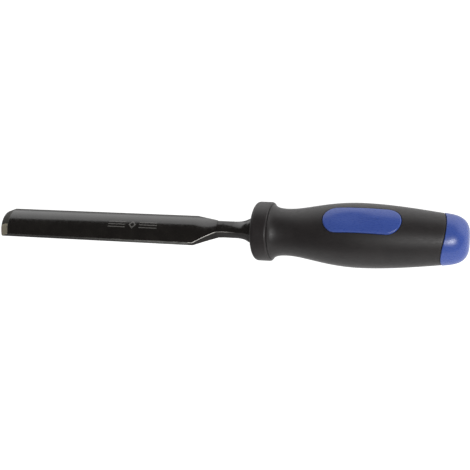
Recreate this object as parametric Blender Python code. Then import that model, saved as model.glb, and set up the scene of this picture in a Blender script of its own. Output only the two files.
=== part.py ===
"""A firmer gouge: a black chisel with a curved blade and a two-colour moulded handle.

The tool lies along the X axis. The origin is the centre of the striking face at the butt, the
cutting edge is at -X, and the rounded back of the blade faces +Z. Lengths are in metres. Each
separate piece of the tool is one object, all of them under one empty.
"""

import math

import bmesh
import bpy
from mathutils import Matrix, Vector
from mathutils.geometry import interpolate_bezier

# Lengths along the axis
BLADE_LENGTH = 0.1215  # cutting edge to the corners of the shoulder
NECK_LENGTH = 0.0359  # corners of the shoulder to the front of the collar
HANDLE_LENGTH = 0.1111  # front of the collar to the striking face

# Blade section: an arched bar with flat sides
BLADE_WIDTH = 0.0176
ARCH_HEIGHT = 0.0023  # top of the arch above the tool's axis
OUTER_RADIUS = 0.0125
SIDE_HEIGHT = 0.0027
ARCH_THICKNESS = 0.0021
WING_LAND = 0.0003  # flat left under each wing beside the channel
BEVEL_ANGLE = math.radians(20)
EDGE_FLAT = 0.0001  # thickness left at the cutting edge
RUNOUT_RADIUS = 0.0600  # the channel leaves the blade along this curve
RUNOUT_TO_SHOULDER = 0.0025  # end of the channel to the corners of the shoulder

# Shoulder and neck, forged in one with the blade
SHOULDER_LENGTH = 0.0138
SHOULDER_END_WIDTH = 0.0078
SHOULDER_FALL = 0.36  # share of the taper done over the first third, so the sides are just hollow
SHOULDER_RISE = 0.0015  # the arch climbs this much from the blade to the end of the shoulder
SHOULDER_EASE = 1.8  # how early it climbs
LAND_STEP = 0.0004  # small step down from the shoulder's land to the neck
LAND_STEP_LENGTH = 0.0002
NECK_WIDTH = 0.0070
NECK_TOP = 0.0034
NECK_SIDE_TOP = 0.0031
NECK_BOTTOM = 0.0031
NECK_EASE_LENGTH = 0.0040  # the shoulder's last taper into the parallel neck
FLARE_START = 0.0129  # from the front of the collar
FLARE_SIZE = 0.0046  # radius of the neck where it starts to flare
FLARE_RADIUS = 0.0234
FLARE_REACH = 0.0121  # length of the curved flare, after which the bolster is parallel
ROUNDNESS_AT_FLARE = 0.15  # the flat-sided neck turns round along the flare
ROUNDNESS_GAIN = 1.2

# Tang, driven into the handle
BOLSTER_SEAT_DEPTH = 0.0008
TANG_ROOT_RADIUS = 0.0045
TANG_ROOT_LENGTH = 0.0050
TANG_WIDTH_FRONT = 0.0070
TANG_WIDTH_REAR = 0.0042
TANG_LENGTH = 0.0640
TANG_POINT_LENGTH = 0.0040
TANG_POINT_WIDTH = 0.0017
TANG_ARCH = 0.0002  # the forged faces of the tang swell this much

# Collar and the steel hoop inside it
COLLAR_RADIUS = 0.01585
COLLAR_LENGTH = 0.0092
COLLAR_FRONT_ROUND = 0.0023
COLLAR_REAR_ROUND = 0.0010
COLLAR_DOME = 0.0008  # the front face rises this much towards the neck
COLLAR_WALL = 0.0026  # front wall at the rim
COLLAR_DOME_BULGE = 0.6  # share of the rise that is left halfway out
COLLAR_FLAT = 0.0003  # taken off under the collar, so that a tool laid down doesn't roll
HOOP_WALL = 0.0018
HOOP_LENGTH = 0.0058
HOOP_CHAMFER = 0.00045
NOSE_RADIUS = 0.0090

# Outer skin of the handle behind the collar
FILLET_RADIUS_AT_COLLAR = 0.0148
WAIST_RADIUS = 0.01255
WAIST_FROM_COLLAR = 0.0084
BELLY_RADIUS = 0.01695
BELLY_FROM_BUTT = 0.0550
BUTT_SHOULDER_RADIUS = 0.0128
BUTT_ROUNDING = 0.0096
STRIKING_FACE_RADIUS = 0.0045
GRIP_WALL = 0.0026

# Handles of the skin's curves: how far each reaches, as a share of its stretch of the axis
FILLET_REACHES = (0.19, 0.55)
FILLET_RISE = 0.0003  # the fillet's first handle above the waist
BELLY_REACHES = (0.26, 0.47)
REAR_REACHES = (0.32, 0.33)
REAR_FALL_LEFT = 0.48  # share of the fall from belly to butt that is left at the last handle
BUTT_REACHES = (0.56, 0.09)
BUTT_DROP = 0.0007  # the butt's first handle below its shoulder
BUTT_CROWN = 0.0062  # its last handle outside the striking face

# Blue cap on the butt
CAP_LENGTH = 0.0120
CAP_PROUD = 0.0002  # the cap stands this far above the grip beside it
CAP_WAVE = 0.0013  # the parting line swings this much either way, twice round the handle
CAP_BOSS_LENGTH = 0.0040  # the cap reaches this far into the grip
SPIGOT_RADIUS = 0.0075
SPIGOT_LENGTH = 0.0095
SPIGOT_BEAD = 0.0005

# Blue inlays, one on the back and one under the belly
INLAY_LENGTH = 0.0406
INLAY_WIDTH = 0.0151
INLAY_PROUD = 0.0004
INLAY_FROM_BELLY = 0.0025  # centre of the inlay, towards the butt
INLAY_FLAT = 0.0004  # taken off the inlay's ridge, so that a tool laid on it doesn't roll

CLEARANCE = 0.0003  # between any two pieces that meet
ROUND_STEPS = 48
ARC_STEPS = 22
SIDE_STEPS = 2
BOTTOM_STEPS = 8
FLARE_STEPS = 10
SHOULDER_STEPS = 8
FILLET_STEPS = 6
BELLY_STEPS = 10
REAR_STEPS = 12
BUTT_STEPS = 9
ROUNDING_STEPS = 6
SHARP_ANGLE = math.radians(19)
CUTTER_MARGIN = 0.0020
RUNOUT_OVERRUN = 1.3  # the channel's cutter turns this much further than the channel needs
CORE_MARGIN = 0.0010  # no skin point this near the ends of the core's body
INLAY_MARGIN = 0.0040  # an inlay's band reaches this far past the inlay before it is cut out
INLAY_END_MARGIN = 0.0005

# Places on the axis that follow from the lengths
CAP_FRONT_X = -CAP_LENGTH
BELLY_X = -BELLY_FROM_BUTT
INLAY_X = BELLY_X + INLAY_FROM_BELLY
COLLAR_FRONT_X = -HANDLE_LENGTH
COLLAR_REAR_X = COLLAR_FRONT_X + COLLAR_LENGTH
WAIST_X = COLLAR_REAR_X + WAIST_FROM_COLLAR
SHOULDER_X = COLLAR_FRONT_X - NECK_LENGTH
SHOULDER_END_X = SHOULDER_X + SHOULDER_LENGTH
EDGE_X = SHOULDER_X - BLADE_LENGTH
FLARE_X = COLLAR_FRONT_X - FLARE_START
BOLSTER_SEAT_X = COLLAR_FRONT_X + BOLSTER_SEAT_DEPTH
TANG_SQUARE_X = BOLSTER_SEAT_X + TANG_ROOT_LENGTH
TANG_END_X = TANG_SQUARE_X + TANG_LENGTH
NOSE_FRONT_X = COLLAR_FRONT_X + COLLAR_WALL + CLEARANCE
CORE_FRONT_X = COLLAR_REAR_X + CLEARANCE
CAP_BOSS_X = CAP_FRONT_X - CAP_BOSS_LENGTH
CORE_REAR_X = CAP_BOSS_X - CLEARANCE
SPIGOT_END_X = CORE_REAR_X + SPIGOT_LENGTH

# The plane that the tool is laid down on: it meets the belly inlay's flat and the collar's
INLAY_TOP = BELLY_RADIUS + INLAY_PROUD - INLAY_FLAT
COLLAR_REST_X = COLLAR_FRONT_X + COLLAR_FRONT_ROUND
REST_SLOPE = (INLAY_TOP - COLLAR_RADIUS + COLLAR_FLAT) / (BELLY_X - COLLAR_REST_X)

# Blade section that follows from the sizes above
HALF_WIDTH = BLADE_WIDTH / 2
SIDE_TOP_Z = ARCH_HEIGHT - OUTER_RADIUS + math.sqrt(OUTER_RADIUS**2 - HALF_WIDTH**2)
WING_Z = SIDE_TOP_Z - SIDE_HEIGHT
CHANNEL_TOP_Z = ARCH_HEIGHT - ARCH_THICKNESS
CHANNEL_RISE = CHANNEL_TOP_Z - WING_Z
CHANNEL_RADIUS = ((HALF_WIDTH - WING_LAND) ** 2 + CHANNEL_RISE**2) / (2 * CHANNEL_RISE)
CHANNEL_CENTRE_Z = CHANNEL_TOP_Z - CHANNEL_RADIUS
RUNOUT_ANGLE = math.acos(1 - CHANNEL_RISE / RUNOUT_RADIUS)
RUNOUT_X = SHOULDER_X - RUNOUT_TO_SHOULDER - RUNOUT_RADIUS * math.sin(RUNOUT_ANGLE)
BOLSTER_RADIUS = FLARE_SIZE + FLARE_RADIUS - math.sqrt(FLARE_RADIUS**2 - FLARE_REACH**2)


def clear_scene():
    """Removes whatever the scene starts with."""
    for obj in list(bpy.data.objects):
        bpy.data.objects.remove(obj)


def make_material(name, colour, roughness, metallic=0.0):
    """A plain Principled material."""
    material = bpy.data.materials.new(name)
    material.use_nodes = True
    shader = material.node_tree.nodes["Principled BSDF"]
    shader.inputs["Base Color"].default_value = (*colour, 1.0)
    shader.inputs["Roughness"].default_value = roughness
    shader.inputs["Metallic"].default_value = metallic
    return material


def add_object(name, bm, material=None, origin_x=0.0):
    """An object from a bmesh in tool coordinates, with its own origin on the axis at origin_x."""
    bmesh.ops.remove_doubles(bm, verts=bm.verts, dist=1e-7)
    bmesh.ops.recalc_face_normals(bm, faces=bm.faces)
    bmesh.ops.translate(bm, verts=bm.verts, vec=(-origin_x, 0, 0))
    mesh = bpy.data.meshes.new(name)
    bm.to_mesh(mesh)
    bm.free()
    mesh.shade_smooth()
    mesh.set_sharp_from_angle(angle=SHARP_ANGLE)
    obj = bpy.data.objects.new(name, mesh)
    obj.location.x = origin_x
    if material:
        mesh.materials.append(material)
    bpy.context.scene.collection.objects.link(obj)
    return obj


def add_helper(name, bm, origin_x=0.0):
    """A shape that other objects are cut by or joined with. It isn't a piece of the tool."""
    helper = add_object(name, bm, origin_x=origin_x)
    helper.hide_render = True
    helper.display_type = "WIRE"
    return helper


def combine(obj, operation, helper):
    """An exact Boolean modifier on obj."""
    modifier = obj.modifiers.new(helper.name, "BOOLEAN")
    modifier.operation = operation
    modifier.solver = "EXACT"
    modifier.object = helper


def turned(profile, steps=ROUND_STEPS):
    """A bmesh turned about the tool's axis from a closed outline of (x, radius) points."""
    bm = bmesh.new()
    verts = [bm.verts.new((x, 0.0, radius)) for x, radius in profile]
    edges = [bm.edges.new(pair) for pair in zip(verts, verts[1:])]
    if min(profile[0][1], profile[-1][1]) > 0:
        edges.append(bm.edges.new((verts[-1], verts[0])))
    spin_full(bm, verts + edges, (0, 0, 0), (1, 0, 0), steps)
    return bm


def spin_full(bm, geometry, centre, axis, steps=ROUND_STEPS):
    """Turns the geometry a full circle about an axis."""
    bmesh.ops.spin(
        bm, geom=geometry, cent=centre, axis=axis, angle=math.tau, steps=steps, use_merge=True
    )


def prism(outline, direction):
    """A bmesh of a flat outline of points, extruded by the vector direction."""
    bm = bmesh.new()
    face = bm.faces.new([bm.verts.new(point) for point in outline])
    made = bmesh.ops.extrude_face_region(bm, geom=[face])["geom"]
    bmesh.ops.translate(bm, verts=[v for v in made if isinstance(v, bmesh.types.BMVert)], vec=direction)
    return bm


def arc(centre, radius, start, end, steps=ARC_STEPS):
    """Points (a, b) on a circle from one angle to another, both ends included."""
    angles = [start + (end - start) * i / steps for i in range(steps + 1)]
    return [(centre[0] + radius * math.cos(t), centre[1] + radius * math.sin(t)) for t in angles]


def smooth_curve(start, start_handle, end_handle, end, steps):
    """(x, radius) points along one Bezier curve."""
    knots = [Vector((*point, 0.0)) for point in (start, start_handle, end_handle, end)]
    return [(p.x, p.y) for p in interpolate_bezier(*knots, steps + 1)]


def fillet_skin():
    """The grip's skin from the collar to the waist."""
    return smooth_curve(
        (CORE_FRONT_X, FILLET_RADIUS_AT_COLLAR),
        (CORE_FRONT_X + FILLET_REACHES[0] * WAIST_FROM_COLLAR, WAIST_RADIUS + FILLET_RISE),
        (CORE_FRONT_X + FILLET_REACHES[1] * WAIST_FROM_COLLAR, WAIST_RADIUS),
        (WAIST_X, WAIST_RADIUS),
        FILLET_STEPS,
    )


def belly_skin():
    """The grip's skin from the waist to the belly."""
    span = BELLY_X - WAIST_X
    return smooth_curve(
        (WAIST_X, WAIST_RADIUS),
        (WAIST_X + BELLY_REACHES[0] * span, WAIST_RADIUS),
        (BELLY_X - BELLY_REACHES[1] * span, BELLY_RADIUS),
        (BELLY_X, BELLY_RADIUS),
        BELLY_STEPS,
    )


def rear_skin():
    """The skin from the belly to where the butt starts to round over."""
    span = -BUTT_ROUNDING - BELLY_X
    fall = BELLY_RADIUS - BUTT_SHOULDER_RADIUS
    return smooth_curve(
        (BELLY_X, BELLY_RADIUS),
        (BELLY_X + REAR_REACHES[0] * span, BELLY_RADIUS),
        (-BUTT_ROUNDING - REAR_REACHES[1] * span, BUTT_SHOULDER_RADIUS + REAR_FALL_LEFT * fall),
        (-BUTT_ROUNDING, BUTT_SHOULDER_RADIUS),
        REAR_STEPS,
    )


def butt_skin():
    """The rounded end of the butt, as far as the flat striking face."""
    return smooth_curve(
        (-BUTT_ROUNDING, BUTT_SHOULDER_RADIUS),
        (-BUTT_REACHES[0] * BUTT_ROUNDING, BUTT_SHOULDER_RADIUS - BUTT_DROP),
        (-BUTT_REACHES[1] * BUTT_ROUNDING, STRIKING_FACE_RADIUS + BUTT_CROWN),
        (0.0, STRIKING_FACE_RADIUS),
        BUTT_STEPS,
    )


def handle_skin():
    """(x, radius) of the handle's outer skin from the collar to the striking face."""
    return fillet_skin() + belly_skin()[1:] + rear_skin()[1:] + butt_skin()[1:]


def skin_radius(x):
    """Radius of the handle's outer skin at x."""
    skin = handle_skin()
    for (x0, r0), (x1, r1) in zip(skin, skin[1:]):
        if x <= x1:
            return r0 + (r1 - r0) * max(0.0, x - x0) / (x1 - x0)
    return skin[-1][1]


def skin_between(x_start, x_end, start_margin=0.0, end_margin=0.0):
    """The skin's own points inside the two margins, with a point at each end."""
    low, high = x_start + start_margin + 1e-6, x_end - end_margin - 1e-6
    inner = [p for p in handle_skin() if low < p[0] < high]
    return [(x_start, skin_radius(x_start)), *inner, (x_end, skin_radius(x_end))]


def offset(points, distance):
    """The (x, radius) points moved outwards by distance."""
    return [(x, radius + distance) for x, radius in points]


def wave_parting(bm, x_plane, proud):
    """Bends the flat ring at x_plane into a wave round the handle, its rim kept on the skin."""
    rim = skin_radius(x_plane) - GRIP_WALL / 2
    for vert in bm.verts:
        if abs(vert.co.x - x_plane) > 1e-6:
            continue
        radius = math.hypot(vert.co.y, vert.co.z)
        vert.co.x += CAP_WAVE * (vert.co.z**2 - vert.co.y**2) / radius**2
        if radius > rim:
            grown = (skin_radius(vert.co.x) + proud) / radius
            vert.co.y *= grown
            vert.co.z *= grown


def steps_between(start, end, count):
    """Points strictly between two (y, z) points, evenly spaced."""
    (y0, z0), (y1, z1) = start, end
    shares = [i / (count + 1) for i in range(1, count + 1)]
    return [(y0 + (y1 - y0) * share, z0 + (z1 - z0) * share) for share in shares]


def bar_section(half_width, top, side_top, bottom):
    """(y, z) points of a bar with an arched top, upright sides and a flat underside."""
    half_angle = 2 * math.atan2(top - side_top, half_width)
    radius = half_width / math.sin(half_angle)
    centre = (0.0, top - radius)
    arch = arc(centre, radius, math.pi / 2 + half_angle, math.pi / 2 - half_angle)
    right, left = (half_width, bottom), (-half_width, bottom)
    return [
        *arch,
        *steps_between(arch[-1], right, SIDE_STEPS),
        right,
        *steps_between(right, left, BOTTOM_STEPS),
        left,
        *steps_between(left, arch[0], SIDE_STEPS),
    ]


def rounded_section(section, radius, share):
    """The section moved by a share of the way onto a circle about the axis."""
    moved = []
    for y, z in section:
        scale = 1 + share * (radius / math.hypot(y, z) - 1)
        moved.append((y * scale, z * scale))
    return moved


def square_section(width):
    """(y, z) points of the tang's square section."""
    return bar_section(width / 2, width / 2, width / 2 - TANG_ARCH, -width / 2)


def loft(rings):
    """A closed bmesh through (x, section) rings that all have the same number of points."""
    bm = bmesh.new()
    loops = [[bm.verts.new((x, y, z)) for y, z in section] for x, section in rings]
    for loop, following in zip(loops, loops[1:]):
        for i in range(len(loop)):
            j = (i + 1) % len(loop)
            bm.faces.new((loop[i], loop[j], following[j], following[i]))
    bm.faces.new(loops[0])
    bm.faces.new(reversed(loops[-1]))
    return bm


def shoulder_rings():
    """Rings from the corners of the shoulder to the step at the end of its land."""
    taper = HALF_WIDTH - SHOULDER_END_WIDTH / 2
    width_curve = smooth_curve(
        (SHOULDER_X, HALF_WIDTH),
        (SHOULDER_X + SHOULDER_LENGTH / 3, HALF_WIDTH - SHOULDER_FALL * taper),
        (SHOULDER_END_X - SHOULDER_LENGTH / 3, SHOULDER_END_WIDTH / 2 + (1 - 2 * SHOULDER_FALL) * taper),
        (SHOULDER_END_X, SHOULDER_END_WIDTH / 2),
        SHOULDER_STEPS,
    )
    rings = []
    for x, half_width in width_curve:
        share = min(1.0, (x - SHOULDER_X) / SHOULDER_LENGTH)
        top = ARCH_HEIGHT + SHOULDER_RISE * (1 - (1 - share) ** SHOULDER_EASE)
        side_top = top - OUTER_RADIUS + math.sqrt(OUTER_RADIUS**2 - half_width**2)
        bottom = WING_Z + (-NECK_BOTTOM - WING_Z) * share
        rings.append((x, bar_section(half_width, top, side_top, bottom)))
    return rings


def neck_section():
    """The parallel part of the neck."""
    return bar_section(NECK_WIDTH / 2, NECK_TOP, NECK_SIDE_TOP, -NECK_BOTTOM)


def neck_rings():
    """Rings from the step behind the shoulder to the bolster's seat in the collar."""
    step_x = SHOULDER_END_X + LAND_STEP_LENGTH
    step_top = ARCH_HEIGHT + SHOULDER_RISE - LAND_STEP
    step_half_width = (SHOULDER_END_WIDTH - LAND_STEP) / 2
    first = bar_section(step_half_width, step_top, NECK_SIDE_TOP - LAND_STEP / 2, -NECK_BOTTOM)
    neck = neck_section()
    rings = [(step_x, first), (step_x + NECK_EASE_LENGTH, neck)]
    for i in range(FLARE_STEPS + 1):
        share = i / FLARE_STEPS
        reach = FLARE_REACH * share
        size = FLARE_SIZE + FLARE_RADIUS - math.sqrt(FLARE_RADIUS**2 - reach**2)
        roundness = min(1.0, ROUNDNESS_AT_FLARE + ROUNDNESS_GAIN * share)
        rings.append((FLARE_X + reach, rounded_section(neck, size, roundness)))
    seat_x = BOLSTER_SEAT_X - CLEARANCE
    rings.append((seat_x, rounded_section(neck, BOLSTER_RADIUS, 1.0)))
    rings.append((seat_x, rounded_section(neck, TANG_ROOT_RADIUS, 1.0)))
    return rings


def tang_rings():
    """Rings of the tang: its round root, its square taper and its blunt point."""
    return [
        (TANG_SQUARE_X, rounded_section(neck_section(), TANG_ROOT_RADIUS, 1.0)),
        (TANG_SQUARE_X + CLEARANCE, square_section(TANG_WIDTH_FRONT)),
        (TANG_END_X, square_section(TANG_WIDTH_REAR)),
        (TANG_END_X + TANG_POINT_LENGTH, square_section(TANG_POINT_WIDTH)),
    ]


def build_forging():
    """Blade bar, shoulder, neck, bolster and tang as one closed shape, before it is ground."""
    bar = bar_section(HALF_WIDTH, ARCH_HEIGHT, SIDE_TOP_Z, WING_Z)
    return loft([(EDGE_X, bar), *shoulder_rings(), *neck_rings(), *tang_rings()])


def build_channel():
    """The cutter of the gouge's channel: a long round bar that curves down and out."""
    bm = bmesh.new()
    upright = Matrix.Rotation(math.pi / 2, 4, "Y")
    place = Matrix.Translation((EDGE_X - CUTTER_MARGIN, 0, CHANNEL_CENTRE_Z)) @ upright
    bmesh.ops.create_circle(
        bm, cap_ends=True, segments=2 * ROUND_STEPS, radius=CHANNEL_RADIUS, matrix=place
    )
    face = bm.faces[:]
    made = bmesh.ops.extrude_face_region(bm, geom=face)["geom"]
    ring = [v for v in made if isinstance(v, bmesh.types.BMVert)]
    bmesh.ops.translate(bm, verts=ring, vec=(RUNOUT_X - EDGE_X + CUTTER_MARGIN, 0, 0))
    bmesh.ops.spin(
        bm,
        geom=made,
        cent=(RUNOUT_X, 0, CHANNEL_TOP_Z - RUNOUT_RADIUS),
        axis=(0, 1, 0),
        angle=RUNOUT_OVERRUN * RUNOUT_ANGLE,
        steps=FLARE_STEPS,
    )
    remove_inner_faces(bm)
    return bm


def remove_inner_faces(bm):
    """Deletes the faces that a spin of a face leaves inside the solid."""
    bmesh.ops.remove_doubles(bm, verts=bm.verts, dist=1e-7)
    inner = [f for f in bm.faces if all(len(e.link_faces) > 2 for e in f.edges)]
    bmesh.ops.delete(bm, geom=inner, context="FACES_ONLY")


def build_bevel():
    """The ring of steel that is ground away outside the cutting edge."""
    slope = math.tan(BEVEL_ANGLE)
    front_x = EDGE_X - CUTTER_MARGIN
    back_x = EDGE_X + 2 * ARCH_THICKNESS / slope
    edge_radius = CHANNEL_RADIUS + EDGE_FLAT
    wide = 2 * CHANNEL_RADIUS
    profile = [
        (front_x, edge_radius - slope * CUTTER_MARGIN),
        (back_x, edge_radius + slope * (back_x - EDGE_X)),
        (back_x, wide),
        (front_x, wide),
    ]
    bm = turned(profile, 2 * ROUND_STEPS)
    bmesh.ops.translate(bm, verts=bm.verts, vec=(0, 0, CHANNEL_CENTRE_Z))
    return bm


def square_taper(x_start, x_end, width_start, width_end):
    """A square bar along the axis whose width changes from one end to the other."""
    bm = bmesh.new()
    place = Matrix.Translation(((x_start + x_end) / 2, 0, 0)) @ Matrix.Rotation(math.pi / 2, 4, "Y")
    bmesh.ops.create_cone(
        bm,
        cap_ends=True,
        segments=4,
        radius1=width_start / math.sqrt(2),
        radius2=width_end / math.sqrt(2),
        depth=x_end - x_start,
        matrix=place @ Matrix.Rotation(math.pi / 4, 4, "Z"),
    )
    return bm


def tang_width(x):
    """Width of the square tang at x."""
    share = (x - TANG_SQUARE_X) / TANG_LENGTH
    return TANG_WIDTH_FRONT + (TANG_WIDTH_REAR - TANG_WIDTH_FRONT) * share


def build_blade(steel):
    """Blade, shoulder, neck, bolster and tang: one forging, ground inside and at the edge."""
    blade = add_object("gouge_blade", build_forging(), steel, SHOULDER_X)
    combine(blade, "DIFFERENCE", add_helper("cutter_channel", build_channel(), SHOULDER_X))
    combine(blade, "DIFFERENCE", add_helper("cutter_bevel", build_bevel(), EDGE_X))
    return blade


def rest_depth(x):
    """How far below the axis, at x, the surface is that the tool is laid down on."""
    return INLAY_TOP + REST_SLOPE * (x - BELLY_X)


def build_collar(plastic):
    """The black collar in front of the grip, bored for the hoop and the root of the tang."""
    front_round = arc(
        (COLLAR_FRONT_X + COLLAR_FRONT_ROUND, COLLAR_RADIUS - COLLAR_FRONT_ROUND),
        COLLAR_FRONT_ROUND,
        math.pi,
        math.pi / 2,
        ROUNDING_STEPS,
    )
    rear_round = arc(
        (COLLAR_REAR_X - COLLAR_REAR_ROUND, COLLAR_RADIUS - COLLAR_REAR_ROUND),
        COLLAR_REAR_ROUND,
        math.pi / 2,
        0.0,
        ROUNDING_STEPS // 2,
    )
    bore = NOSE_RADIUS + HOOP_WALL + 2 * CLEARANCE
    seat_radius = BOLSTER_RADIUS + CLEARANCE
    hole = TANG_ROOT_RADIUS + CLEARANCE
    wall_x = COLLAR_FRONT_X + COLLAR_WALL
    halfway = (seat_radius + COLLAR_RADIUS - COLLAR_FRONT_ROUND) / 2
    profile = [
        (BOLSTER_SEAT_X, hole),
        (BOLSTER_SEAT_X, seat_radius),
        (COLLAR_FRONT_X - COLLAR_DOME, seat_radius),
        (COLLAR_FRONT_X - COLLAR_DOME_BULGE * COLLAR_DOME, halfway),
        *front_round,
        *rear_round,
        (COLLAR_REAR_X, bore),
        (wall_x, bore),
        (wall_x, hole),
    ]
    bm = turned(profile)
    for vert in bm.verts:
        vert.co.z = max(vert.co.z, -rest_depth(vert.co.x))
    return add_object("front_collar", bm, plastic, COLLAR_FRONT_X)


def build_hoop(steel):
    """The steel hoop that keeps the core's nose from splitting."""
    inner = NOSE_RADIUS + CLEARANCE
    outer = inner + HOOP_WALL
    front_x = NOSE_FRONT_X
    rear_x = front_x + HOOP_LENGTH
    profile = [
        (front_x, inner),
        (front_x, outer - HOOP_CHAMFER),
        (front_x + HOOP_CHAMFER, outer),
        (rear_x - HOOP_CHAMFER, outer),
        (rear_x, outer - HOOP_CHAMFER),
        (rear_x, inner),
    ]
    return add_object("ferrule_hoop", turned(profile), steel, front_x)


def spigot_bead(radius, bead_radius):
    """(x, radius) points of the rounded snap bead halfway along the spigot."""
    middle = (CORE_REAR_X + SPIGOT_END_X) / 2
    return arc((middle, radius), bead_radius, math.pi, 0.0, ROUNDING_STEPS)


def build_core(plastic):
    """The hard core of the handle: nose, body, spigot for the cap and socket for the tang."""
    skin = skin_between(CORE_FRONT_X, CORE_REAR_X, CORE_MARGIN, CORE_MARGIN)
    body = offset(skin, -GRIP_WALL - CLEARANCE)
    profile = [
        (NOSE_FRONT_X, 0.0),
        (NOSE_FRONT_X, NOSE_RADIUS),
        (CORE_FRONT_X, NOSE_RADIUS),
        *body,
        (CORE_REAR_X, SPIGOT_RADIUS),
        *spigot_bead(SPIGOT_RADIUS, SPIGOT_BEAD),
        (SPIGOT_END_X, SPIGOT_RADIUS),
        (SPIGOT_END_X, 0.0),
    ]
    core = add_object("handle_core", turned(profile), plastic, CORE_FRONT_X)
    socket_end = TANG_END_X + TANG_POINT_LENGTH + CLEARANCE
    entry_x = TANG_SQUARE_X - CLEARANCE
    socket = square_taper(
        entry_x, socket_end, tang_width(entry_x) + 2 * CLEARANCE, tang_width(socket_end) + 2 * CLEARANCE
    )
    combine(core, "DIFFERENCE", add_helper("cutter_socket", socket, TANG_SQUARE_X))
    root_end = TANG_SQUARE_X + 2 * CLEARANCE
    mouth_radius = TANG_ROOT_RADIUS + CLEARANCE
    mouth_x = NOSE_FRONT_X - CUTTER_MARGIN
    mouth = turned([(mouth_x, 0.0), (mouth_x, mouth_radius), (root_end, mouth_radius), (root_end, 0.0)])
    combine(core, "DIFFERENCE", add_helper("cutter_mouth", mouth, NOSE_FRONT_X))
    return core


def stadium(length, width, height, slope=0.0):
    """A block with rounded ends seen from above, over the inlays' place, its top sloping along X."""
    radius = width / 2
    straight = length / 2 - radius
    rear = arc((INLAY_X + straight, 0.0), radius, -math.pi / 2, math.pi / 2, ARC_STEPS // 2)
    front = arc((INLAY_X - straight, 0.0), radius, math.pi / 2, 1.5 * math.pi, ARC_STEPS // 2)
    outline = [(x, y, slope * (x - BELLY_X)) for x, y in rear + front]
    return prism(outline, (0, 0, height))


def build_grip(rubber):
    """The soft black grip moulded over the core, with a window over each inlay."""
    rear_x = CAP_FRONT_X - CLEARANCE
    skin = skin_between(CORE_FRONT_X, rear_x, end_margin=2 * CAP_WAVE)
    profile = skin + offset(reversed(skin), -GRIP_WALL)
    bm = turned(profile)
    wave_parting(bm, rear_x, 0.0)
    grip = add_object("grip_sleeve", bm, rubber, CORE_FRONT_X)
    for side in (1, -1):
        window = stadium(INLAY_LENGTH, INLAY_WIDTH, side * 2 * BELLY_RADIUS)
        combine(grip, "DIFFERENCE", add_helper("cutter_window", window, INLAY_X))
    return grip


def build_inlay(name, side, plastic):
    """One blue inlay, on the +Z side or the -Z side, standing just proud of the grip."""
    front_x = INLAY_X - INLAY_LENGTH / 2 - INLAY_MARGIN
    rear_x = INLAY_X + INLAY_LENGTH / 2 + INLAY_MARGIN
    skin = skin_between(front_x, rear_x, INLAY_END_MARGIN, INLAY_END_MARGIN)
    band = offset(skin, INLAY_PROUD) + offset(reversed(skin), -GRIP_WALL)
    inlay = add_object(name, turned(band), plastic, INLAY_X)
    length = INLAY_LENGTH - 2 * CLEARANCE
    width = INLAY_WIDTH - 2 * CLEARANCE
    block = stadium(length, width, side * INLAY_TOP, side * REST_SLOPE)
    combine(inlay, "INTERSECT", add_helper(f"cutter_{name}", block, INLAY_X))
    return inlay


def build_cap(plastic):
    """The blue striking cap, snapped over the core's spigot."""
    skin = skin_between(CAP_FRONT_X, 0.0, start_margin=2 * CAP_WAVE)
    boss = skin_radius(CAP_FRONT_X) - GRIP_WALL - CLEARANCE
    bore = SPIGOT_RADIUS + CLEARANCE
    floor_x = SPIGOT_END_X + CLEARANCE
    proud = [(x, radius + CAP_PROUD) for x, radius in skin[:-1]]
    profile = [
        (floor_x, 0.0),
        (floor_x, bore),
        *reversed(spigot_bead(bore, SPIGOT_BEAD)),
        (CAP_BOSS_X, bore),
        (CAP_BOSS_X, boss),
        (CAP_FRONT_X, boss),
        *proud,
        (0.0, STRIKING_FACE_RADIUS),
        (0.0, 0.0),
    ]
    bm = turned(profile)
    wave_parting(bm, CAP_FRONT_X, CAP_PROUD)
    return add_object("striking_cap", bm, plastic, CAP_FRONT_X)


def main():
    """Builds every piece and hangs them all on one empty."""
    clear_scene()
    black_steel = make_material("blackened_steel", (0.018, 0.017, 0.016), 0.32, 0.85)
    hoop_steel = make_material("plain_steel", (0.55, 0.55, 0.56), 0.35, 1.0)
    collar_plastic = make_material("black_plastic", (0.022, 0.020, 0.021), 0.45)
    core_plastic = make_material("core_plastic", (0.03, 0.03, 0.032), 0.5)
    grip_rubber = make_material("black_grip", (0.024, 0.023, 0.023), 0.62)
    blue_plastic = make_material("blue_plastic", (0.055, 0.105, 0.42), 0.42)
    pieces = [
        build_blade(black_steel),
        build_collar(collar_plastic),
        build_hoop(hoop_steel),
        build_core(core_plastic),
        build_grip(grip_rubber),
        build_inlay("back_inlay", 1, blue_plastic),
        build_inlay("belly_inlay", -1, blue_plastic),
        build_cap(blue_plastic),
    ]
    tool = bpy.data.objects.new("firmer_gouge", None)
    bpy.context.scene.collection.objects.link(tool)
    for piece in pieces:
        piece.parent = tool


main()
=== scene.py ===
"""The looks of a firmer gouge with a curved black blade and a two-colour moulded handle.

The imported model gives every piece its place. The tool lies along the X axis with the cutting
edge at -X, the striking face at the origin and the rounded back of the blade facing +Z.
Lengths are in metres.
"""

import logging
import math
from dataclasses import dataclass, field
from enum import Enum
from typing import Sequence

import bmesh
import bpy
from mathutils import Matrix, Vector
from mathutils.geometry import interpolate_bezier


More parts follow.
